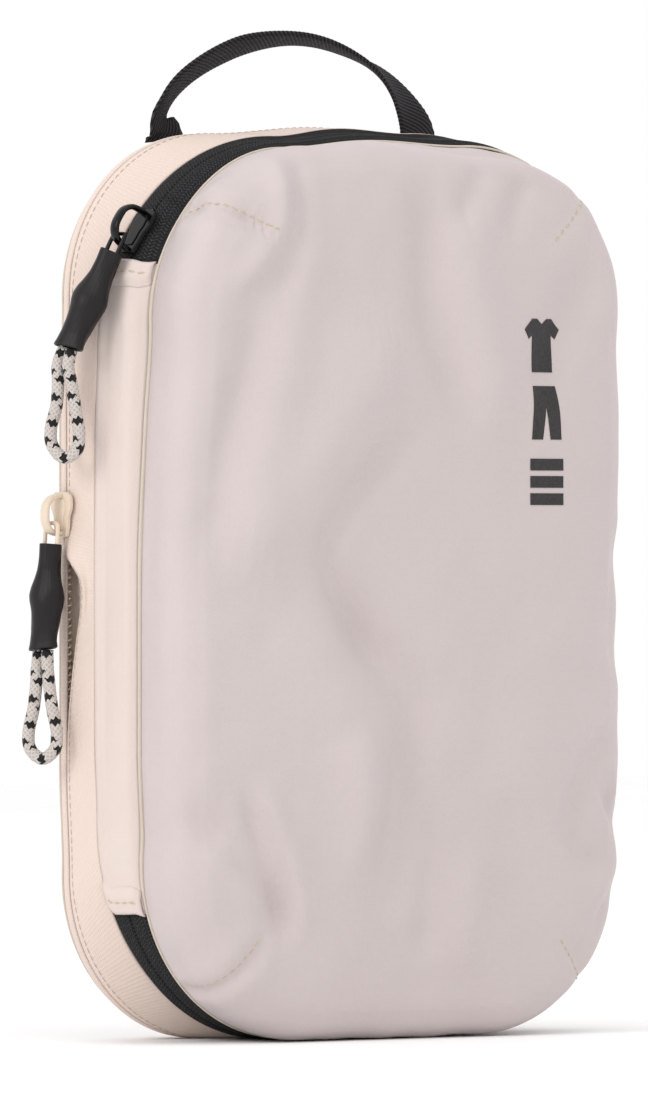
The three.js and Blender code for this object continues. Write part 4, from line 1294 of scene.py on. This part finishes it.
def edge_stitching(front_shift, front_lift, run):
    """The row of tan stitches beside the front half's edge."""
    y = COMPRESSION_ZIP_Y - 1.7 * MM
    points = [skin(s, y, -front_lift(s, y) - 0.05 * MM) + (0, front_shift(s, y), 0) for s in run]
    row = stitches("compression_stitches_body", points, outward_normal, TAN_THREAD,
                   length=2.2 * MM, gap=0.3 * MM, radius=0.13 * MM)
    finish_piece(row, "middle", "binding_tape")


def compression_coils():
    front_run = steps(left_side(80 * MM), left_side(70 * MM), FINE)
    front = coil_helix("compression_coil_body", front_run, COMPRESSION_ZIP_Y - 0.5 * MM, -1, CREAM_COIL,
                       depth=1.9 * MM, shift=unclosed)
    finish_piece(front, "middle", "cream_zip_coil", "compression_coil_front")
    rear = coil_helix("compression_coil_back", front_run, COMPRESSION_ZIP_Y + 0.5 * MM, 1, CREAM_COIL,
                      depth=1.9 * MM)
    finish_piece(rear, "rear", "cream_zip_coil", "compression_coil_rear")
    for name, body, side, node in [("body", "middle", -1, "compression_stop_front"),
                                   ("back", "rear", 1, "compression_stop_rear")]:
        path = [skin(left_side(z * MM), COMPRESSION_ZIP_Y + side * 1.4 * MM, 1.9 * MM)
                for z in np.linspace(71, 79, 8)]
        stop = tube(f"compression_stop_{name}", path, rounded_ends(8, 0.75 * MM), CREAM_COIL, sides=10)
        finish_piece(stop, body, "cream_zip_coil", node)


def gusset():
    """The cloth that the compression zip folds away: two legs that part as it is let out."""
    fold_y = -19 * MM

    def slack(s, y):
        showing = -unclosed(s) / (7 * MM) * float(smooth(y, -12 * MM, -4 * MM))
        return 0.35 * MM * noise.noise(Vector((s * 26, y * 60, 9.4))) + 1.9 * MM * showing
    front_depths = depths_between(2.6 * MM, fold_y, 1.2 * MM)
    front = band("gusset_front", ALL_ROUND, front_depths, 5.2 * MM, GUSSET, closed=True,
                 thickness=0.5 * MM, lift=slack)
    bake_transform(front)
    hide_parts("gusset_front_leg")
    course_y = np.array([-19, 6.8, 9, 11.4]) * MM
    course_below = np.array([6.3, 6.3, 3.6, 2.7]) * MM
    rear_depths = depths_between(fold_y, 11.4 * MM, 1.2 * MM)
    rear = band("gusset_rear", ALL_ROUND, rear_depths, 0, GUSSET, closed=True, thickness=0.5 * MM,
                lift=lambda s, y: slack(s, y) - float(np.interp(y, course_y, course_below)))
    finish_piece(rear, "rear", "gusset_fabric", "gusset_rear_leg", "gusset_rear_tuck")


def seam_bindings():
    """Binding folded over the three inside seams."""
    rows = [("front", "lid", -21.6, -18.9, "front_seam_binding"),
            ("middle", "middle", -10.4, -5.5, "middle_seam_binding"),
            ("back", "rear", 9.2, 11.5, "back_seam_binding")]
    for name, body, start, end, node in rows:
        middle = (start + end) / 2 * MM
        half = (end - start) / 2 * MM

        def lift(s, y, middle=middle, half=half):
            return 0.25 * MM * (1 - ((y - middle) / half) ** 2)
        piece = band(f"{name}_binding", ALL_ROUND, depths_between(start * MM, end * MM, 0.6 * MM), 1.25 * MM,
                     BINDING, closed=True, thickness=0.9 * MM, lift=lift)
        finish_piece(piece, body, "binding_tape", node)


def seam_piping():
    """The roll at the lid's seam, in the shell's cloth painted lighter and yellower for the light glowing
    through its fold: fat down the left side, a thin edge elsewhere.
    """
    def roll_radius(s):
        x, height, nx, nz = outline(s)
        fat = 0.0
        if x < 0:
            fat = float(smooth(height, 30 * MM, 40 * MM) * smooth(236 * MM - height, 0, 10 * MM))
        return mix(0.35 * MM, 0.62 * MM, fat)
    path = [skin(s, FRONT_SEAM_Y - 0.35 * MM, -0.15 * MM - 0.3 * roll_radius(s)) for s in ALL_ROUND]
    radii = [roll_radius(s) for s in ALL_ROUND]
    piece = tube("front_seam_piping", path, radii, PIPING_PAINTED_GLOW, sides=10, closed_ends=False)
    finish_piece(piece, "lid", "shell_fabric")
    back_path = [skin(s, BACK_SEAM_Y + 0.2 * MM, -0.1 * MM) for s in ALL_ROUND]
    back = tube("back_seam_piping", back_path, 0.5 * MM, PIPING_PAINTED_GLOW, sides=8, closed_ends=False)
    finish_piece(back, "rear", "shell_fabric")


# ---------- grab handle ----------
# The webbing makes a quarter turn up each leg: shares of its length, and degrees of turn.
HANDLE_SHARE = np.array([0, 0.02, 0.06, 0.2, 0.33, 0.5, 0.72, 0.81, 0.9, 0.96, 1])
HANDLE_TURN = np.array([-88, -80, -46, -37, -32, -13, 14, 38, 61, 78, 88])


def handle_path():
    """The webbing's centre line, up from one foot and down to the other, in mm until the last step."""
    foot_x = 46.5
    radius = CORNER_RADIUS[-1]
    angle = math.degrees(math.acos((foot_x * MM - (HALF_WIDTH - radius)) / radius))
    foot_z = skin(upper_left(angle), BACK_SEAM_Y, -1.3 * MM)[2] / MM
    line = [(-foot_x, foot_z), (-foot_x - 0.3, foot_z + 2.4), (-48, 265.5), (-44.9, 271.9),
            (-36.9, 278.8), (-21.6, 286), (-2, 289.3), (12, 288.2), (26.5, 283.4), (35.2, 278.2),
            (41.7, 271.4), (45.9, 264.5), (foot_x, foot_z + 2.4), (foot_x, foot_z)]
    return smooth_path([(x * MM, HANDLE_Y, z * MM) for x, z in line], 480)


def handle_turns(count):
    """The webbing's turn at each of count points, with the changes of pace rounded off."""
    turns = np.interp(np.linspace(0, 1, count), HANDLE_SHARE, HANDLE_TURN)
    padded = np.pad(turns, 14, mode="edge")
    return np.radians(np.convolve(padded, np.ones(29) / 29, mode="valid"))


def grab_handle():
    """Flat webbing swept along its path, turning as it goes, with a ribbed edge."""
    path = handle_path()
    turns = handle_turns(len(path))
    tangents = np.gradient(path, axis=0)
    along = np.concatenate([[0], np.cumsum(np.linalg.norm(np.diff(path, axis=0), axis=1))])
    half_width, half_thickness = 7.5 * MM, 0.75 * MM
    section = [(-1 + k / 4, 1) for k in range(9)] + [(1 - k / 4, -1) for k in range(9)]
    points = np.zeros((len(path), len(section), 3))
    uvs = np.zeros((len(path), len(section) + 1, 2))
    rib = 1.45 * MM
    for i, centre in enumerate(path):
        tangent = Vector(tangents[i]).normalized()
        outwards = Vector((-tangent.z, 0, tangent.x))
        across = Vector((0, -math.cos(turns[i]), 0)) - outwards * math.sin(turns[i])
        face = tangent.cross(across)
        serration = 0.28 * MM * abs(math.sin(math.pi * along[i] / rib))
        for k, (w, f) in enumerate(section):
            width = w * half_width - (math.copysign(serration, w) if abs(w) > 0.95 else 0)
            swell = 1 - 0.45 * abs(w) ** 6
            point = Vector(centre) + across * width + face * f * half_thickness * swell
            points[i, k] = point
            uvs[i, k] = (along[i], w * half_width)
        uvs[i, -1] = uvs[i, 0]
    piece = grid("grab_handle", points, uvs, WEBBING, closed=True)
    close_ends(piece, len(path), len(section))
    finish_piece(piece, "handle", "black_webbing", "handle_webbing")


def close_ends(piece, rows, columns):
    """Fills the first and last row of a closed grid, and turns its faces outwards."""
    work = bmesh.new()
    work.from_mesh(piece.data)
    work.verts.ensure_lookup_table()
    work.faces.new([work.verts[k] for k in range(columns)])
    work.faces.new([work.verts[(rows - 1) * columns + k] for k in reversed(range(columns))])
    bmesh.ops.recalc_face_normals(work, faces=work.faces)
    work.to_mesh(piece.data)
    work.free()


# ---------- sliders and pulls ----------
def plate_outline(half_length, half_width):
    """A slider's plate from above: narrow tail, broad shoulders."""
    corners = [(-1, 0.55), (-0.55, 0.7), (-0.1, 0.74), (0.25, 0.98), (0.55, 1), (0.82, 0.92), (1, 0.55)]
    upper = [(x * half_length, y * half_width) for x, y in corners]
    return upper + [(x, -y) for x, y in reversed(upper)]


def bevelled_slab(name, outline_points, bottom, top, place, material, bevel=0.35 * MM):
    """A flat plate with rounded edges, between two heights."""
    count = len(outline_points)
    points = [place(x, y, z) for z in (bottom, top) for x, y in outline_points]
    faces = [tuple(range(count))[::-1], tuple(range(count, 2 * count))]
    faces += [(k, (k + 1) % count, count + (k + 1) % count, count + k) for k in range(count)]
    piece = mesh_object(name, points, faces, None, material)
    turn_faces_out(piece)
    soften = piece.modifiers.new("bevel", "BEVEL")
    soften.width = bevel
    soften.segments = 3
    soften.limit_method = "ANGLE"
    soften.angle_limit = math.radians(40)
    soften.harden_normals = True
    return freeze(piece)


def turn_faces_out(piece):
    work = bmesh.new()
    work.from_mesh(piece.data)
    bmesh.ops.recalc_face_normals(work, faces=work.faces)
    work.to_mesh(piece.data)
    work.free()


def crown(name, size, place, material):
    """The arch over the plate, broad and domed in the middle."""
    back, front, height = size["crown"]
    line = [(-5.4, 0.9), (-5.5, 3.2), (-4.7, 5.6), (-2.6, 7.05), (0, 7.3),
            (2.6, 6.9), (4.4, 5.4), (5.1, 3.2), (5.1, 0.9)]
    reach = [np.interp(x, [-5.5, 5.1], [back + 0.5, front - 0.5]) for x, _ in line]
    rise = [z * (height - 0.7) / 7.3 for _, z in line]
    path = smooth_path([(x * MM, z * MM) for x, z in zip(reach, rise)], 40)
    tangents = np.gradient(path, axis=0)
    sides = 20
    points, uvs = [], []
    for i, (x, z) in enumerate(path):
        t = i / (len(path) - 1)
        tangent = tangents[i] / np.linalg.norm(tangents[i])
        middle = math.sin(math.pi * t)
        half_width = (1.25 + 0.45 * middle) * MM
        half_thick = (0.75 + 0.1 * middle) * MM
        ring = []
        for k in range(sides):
            angle = 2 * math.pi * k / sides
            bulge = half_thick * math.copysign(abs(math.sin(angle)) ** 0.8, math.sin(angle))
            width = half_width * math.copysign(abs(math.cos(angle)) ** 0.8, math.cos(angle))
            ring.append(place(x - tangent[1] * bulge, width, z + tangent[0] * bulge))
        points.append(ring)
        uvs.append([(t * 20 * MM, k / sides) for k in range(sides + 1)])
    piece = grid(name, np.array(points), np.array(uvs), material, closed=True)
    close_ends(piece, len(path), sides)
    return piece


def make_slider(name, size, place, body, material, slot, node):
    """Outer plate with a raised ridge, inner plate, the post between them, and the crown."""
    half = size["half_length"] * MM
    outer = bevelled_slab(f"{name}_plate", plate_outline(half, 4.6 * MM), 0.5 * MM, 1.9 * MM, place, material)
    ridge = bevelled_slab(f"{name}_ridge", plate_outline(half * 0.7, 2.6 * MM), 1.7 * MM, 2.25 * MM,
                          place, material, 0.2 * MM)
    inner = bevelled_slab(f"{name}_inner", plate_outline(half - 0.8 * MM, 3.7 * MM), -4.5 * MM, -3.75 * MM,
                          place, material, 0.2 * MM)
    post = [(0.2 * MM, -0.4 * MM), (4 * MM, -0.4 * MM), (4 * MM, 0.4 * MM), (0.2 * MM, 0.4 * MM)]
    stem = bevelled_slab(f"{name}_post", post, -3.9 * MM, 0.7 * MM, place, material, 0.1 * MM)
    arch = crown(f"{name}_crown", size, place, material)
    piece = joined(name, [outer, ridge, inner, stem, arch])
    finish_piece(piece, body, slot, node)


def make_link(name, eye, direction, length, body, material, slot, node):
    """Wire: a crossbar under the crown and a leg each side down into the sleeve."""
    half_span = 2.9 * MM

    def at(y, along):
        return eye + Vector((0, y, 0)) + direction * along

    def side(sign):
        return [at(sign * half_span, length + 2.5 * MM), at(sign * half_span, 1.6 * MM),
                at(sign * 2.6 * MM, 0.3 * MM), at(sign * 1.6 * MM, 0)]
    path = smooth_path([*side(-1), *reversed(side(1))], 60)
    piece = tube(name, path, 0.62 * MM, material, sides=14)
    finish_piece(piece, body, slot, node)


# A sleeve shrunk over the knot: share of its length, half width and half depth in mm.
SLEEVE_SHARE = np.array([0, 0.12, 0.25, 0.34, 0.42, 0.5, 0.56, 0.64, 0.76, 0.86, 0.94, 1])
SLEEVE_WIDTH = np.array([3.55, 3.6, 3.8, 4.5, 5.3, 5.8, 5.8, 5.4, 4.8, 4.6, 4.85, 5.2]) * MM
SLEEVE_DEPTH = np.array([3.2, 3.2, 3.4, 3.8, 4.2, 4.5, 4.5, 4.2, 3.9, 3.6, 3.6, 3.8]) * MM


def make_sleeve(name, top, direction, slimness, body, node):
    """A hollow-ended rubber sleeve that bulges over the cord's knot."""
    across = (Vector((0, 1, 0)) - direction * direction.y).normalized()
    through = direction.cross(across)
    rows, sides = 64, 48
    wall = 0.7 * MM

    def ring(share, shrink, dip=0.0):
        width = float(np.interp(share, SLEEVE_SHARE, SLEEVE_WIDTH)) * slimness - shrink
        depth = float(np.interp(share, SLEEVE_SHARE, SLEEVE_DEPTH)) * slimness - shrink
        centre = top + direction * share * SLEEVE_LENGTH
        knot = math.exp(-((share - 0.52) / 0.14) ** 2)
        points = []
        for k in range(sides):
            angle = 2 * math.pi * k / sides
            twist = 0.05 * knot * math.sin(2 * angle + 9 * share)
            lump = 1 + twist + 0.035 * math.sin(3 * angle + 11 * share)
            square = 1 + 0.06 * math.cos(4 * angle) * (1 - knot)
            tilt = direction * (0.7 * MM * math.cos(angle + 0.6) * float(smooth(share, 0.8, 1)))
            out = across * width * math.cos(angle) + through * depth * math.sin(angle)
            points.append(centre + tilt - direction * dip + out * lump * square)
        return points
    shares = np.linspace(0, 1, rows)
    rings = [ring(0.02, wall + 0.6 * MM, -1.5 * MM), ring(0.0, wall, -0.2 * MM)]
    rings.append(ring(0.0, 0.35 * MM, 0.12 * MM))
    rings += [ring(share, 0) for share in shares]
    rings += [ring(1.0, 0.35 * MM, -0.15 * MM), ring(1.0, wall), ring(0.93, wall)]
    rings.append(ring(0.9, wall + 1.5 * MM))
    uvs = [[(r * 0.5 * MM, k / sides) for k in range(sides + 1)] for r in range(len(rings))]
    piece = grid(name, np.array(rings), np.array(uvs), SLEEVE, closed=True)
    close_ends(piece, len(rings), sides)
    smoother = piece.modifiers.new("finer", "SUBSURF")
    smoother.levels = 1
    freeze(piece)
    finish_piece(piece, body, "pull_sleeve", node)


# ---------- stage ----------
def make_stage():
    """A plain white floor; beyond it the studio is white too."""
    half = 3.0
    corners = np.array([[(-half, -half, 0), (half, -half, 0)], [(-half, half, 0), (half, half, 0)]])
    floor = grid("studio_floor", corners, np.zeros((2, 2, 2)), FLOOR)


def area_light(name, location, target, size, power, colour=(1, 1, 1)):
    data = bpy.data.lights.new(name, "AREA")
    data.shape = "RECTANGLE"
    data.size, data.size_y = size
    data.energy = power
    data.color = colour
    lamp = bpy.data.objects.new(name, data)
    lamp.location = location
    lamp.rotation_euler = (Vector(target) - Vector(location)).to_track_quat("-Z", "Y").to_euler()
    bpy.context.scene.collection.objects.link(lamp)


def make_lights():
    world = bpy.data.worlds.new("studio")
    world.use_nodes = True
    background = world.node_tree.nodes["Background"]
    background.inputs["Color"].default_value = (1, 1, 1, 1)
    background.inputs["Strength"].default_value = 1.0
    bpy.context.scene.world = world
    middle = (0, 0, MIDDLE_Z)
    area_light("key", (-2.0, -0.35, 1.2), middle, (0.7, 1.1), 13)
    area_light("top", (-0.2, -0.7, 1.9), middle, (0.9, 0.7), 4)
    view = bpy.context.scene.view_settings
    view.view_transform = "Standard"
    view.look = "None"


# ---------- making it ----------
make_camera()
make_cord("main_cord", main_sleeve_top + main_pull_direction * SLEEVE_LENGTH, main_pull_direction,
          "main_pull", "main_pull_cord")
make_cord("compression_cord", compression_sleeve_top + compression_pull_direction * SLEEVE_LENGTH,
          compression_pull_direction, "compression_pull", "compression_pull_cord")

printed_mark(surface_finder(front_panel(), -0.2, 1))
back_panel()

main_zip_tapes()
main_zip_coils()
spine_strip()
end_tabs()
compression_tapes()
compression_coils()
gusset()
seam_bindings()
seam_piping()
grab_handle()

make_slider("main_slider_body", MAIN_SLIDER, main_slider_at, "main_slider", BLACK_ENAMEL,
            "black_slider", "main_slider")
make_link("main_link", main_eye, main_pull_direction, MAIN_LINK_LENGTH, "main_pull", BLACK_ENAMEL,
          "black_slider", "main_pull_link")
make_sleeve("main_sleeve", main_sleeve_top, main_pull_direction, 1.05, "main_pull", "main_pull_sleeve")
make_slider("compression_slider_body", COMPRESSION_SLIDER, compression_slider_at, "compression_slider",
            CREAM_ENAMEL, "cream_slider", "compression_slider")
make_link("compression_link", compression_eye, compression_pull_direction, COMPRESSION_LINK_LENGTH,
          "compression_pull", CREAM_ENAMEL, "cream_slider", "compression_pull_link")
make_sleeve("compression_sleeve", compression_sleeve_top, compression_pull_direction, 1.0,
            "compression_pull", "compression_pull_sleeve")

make_stage()
make_lights()
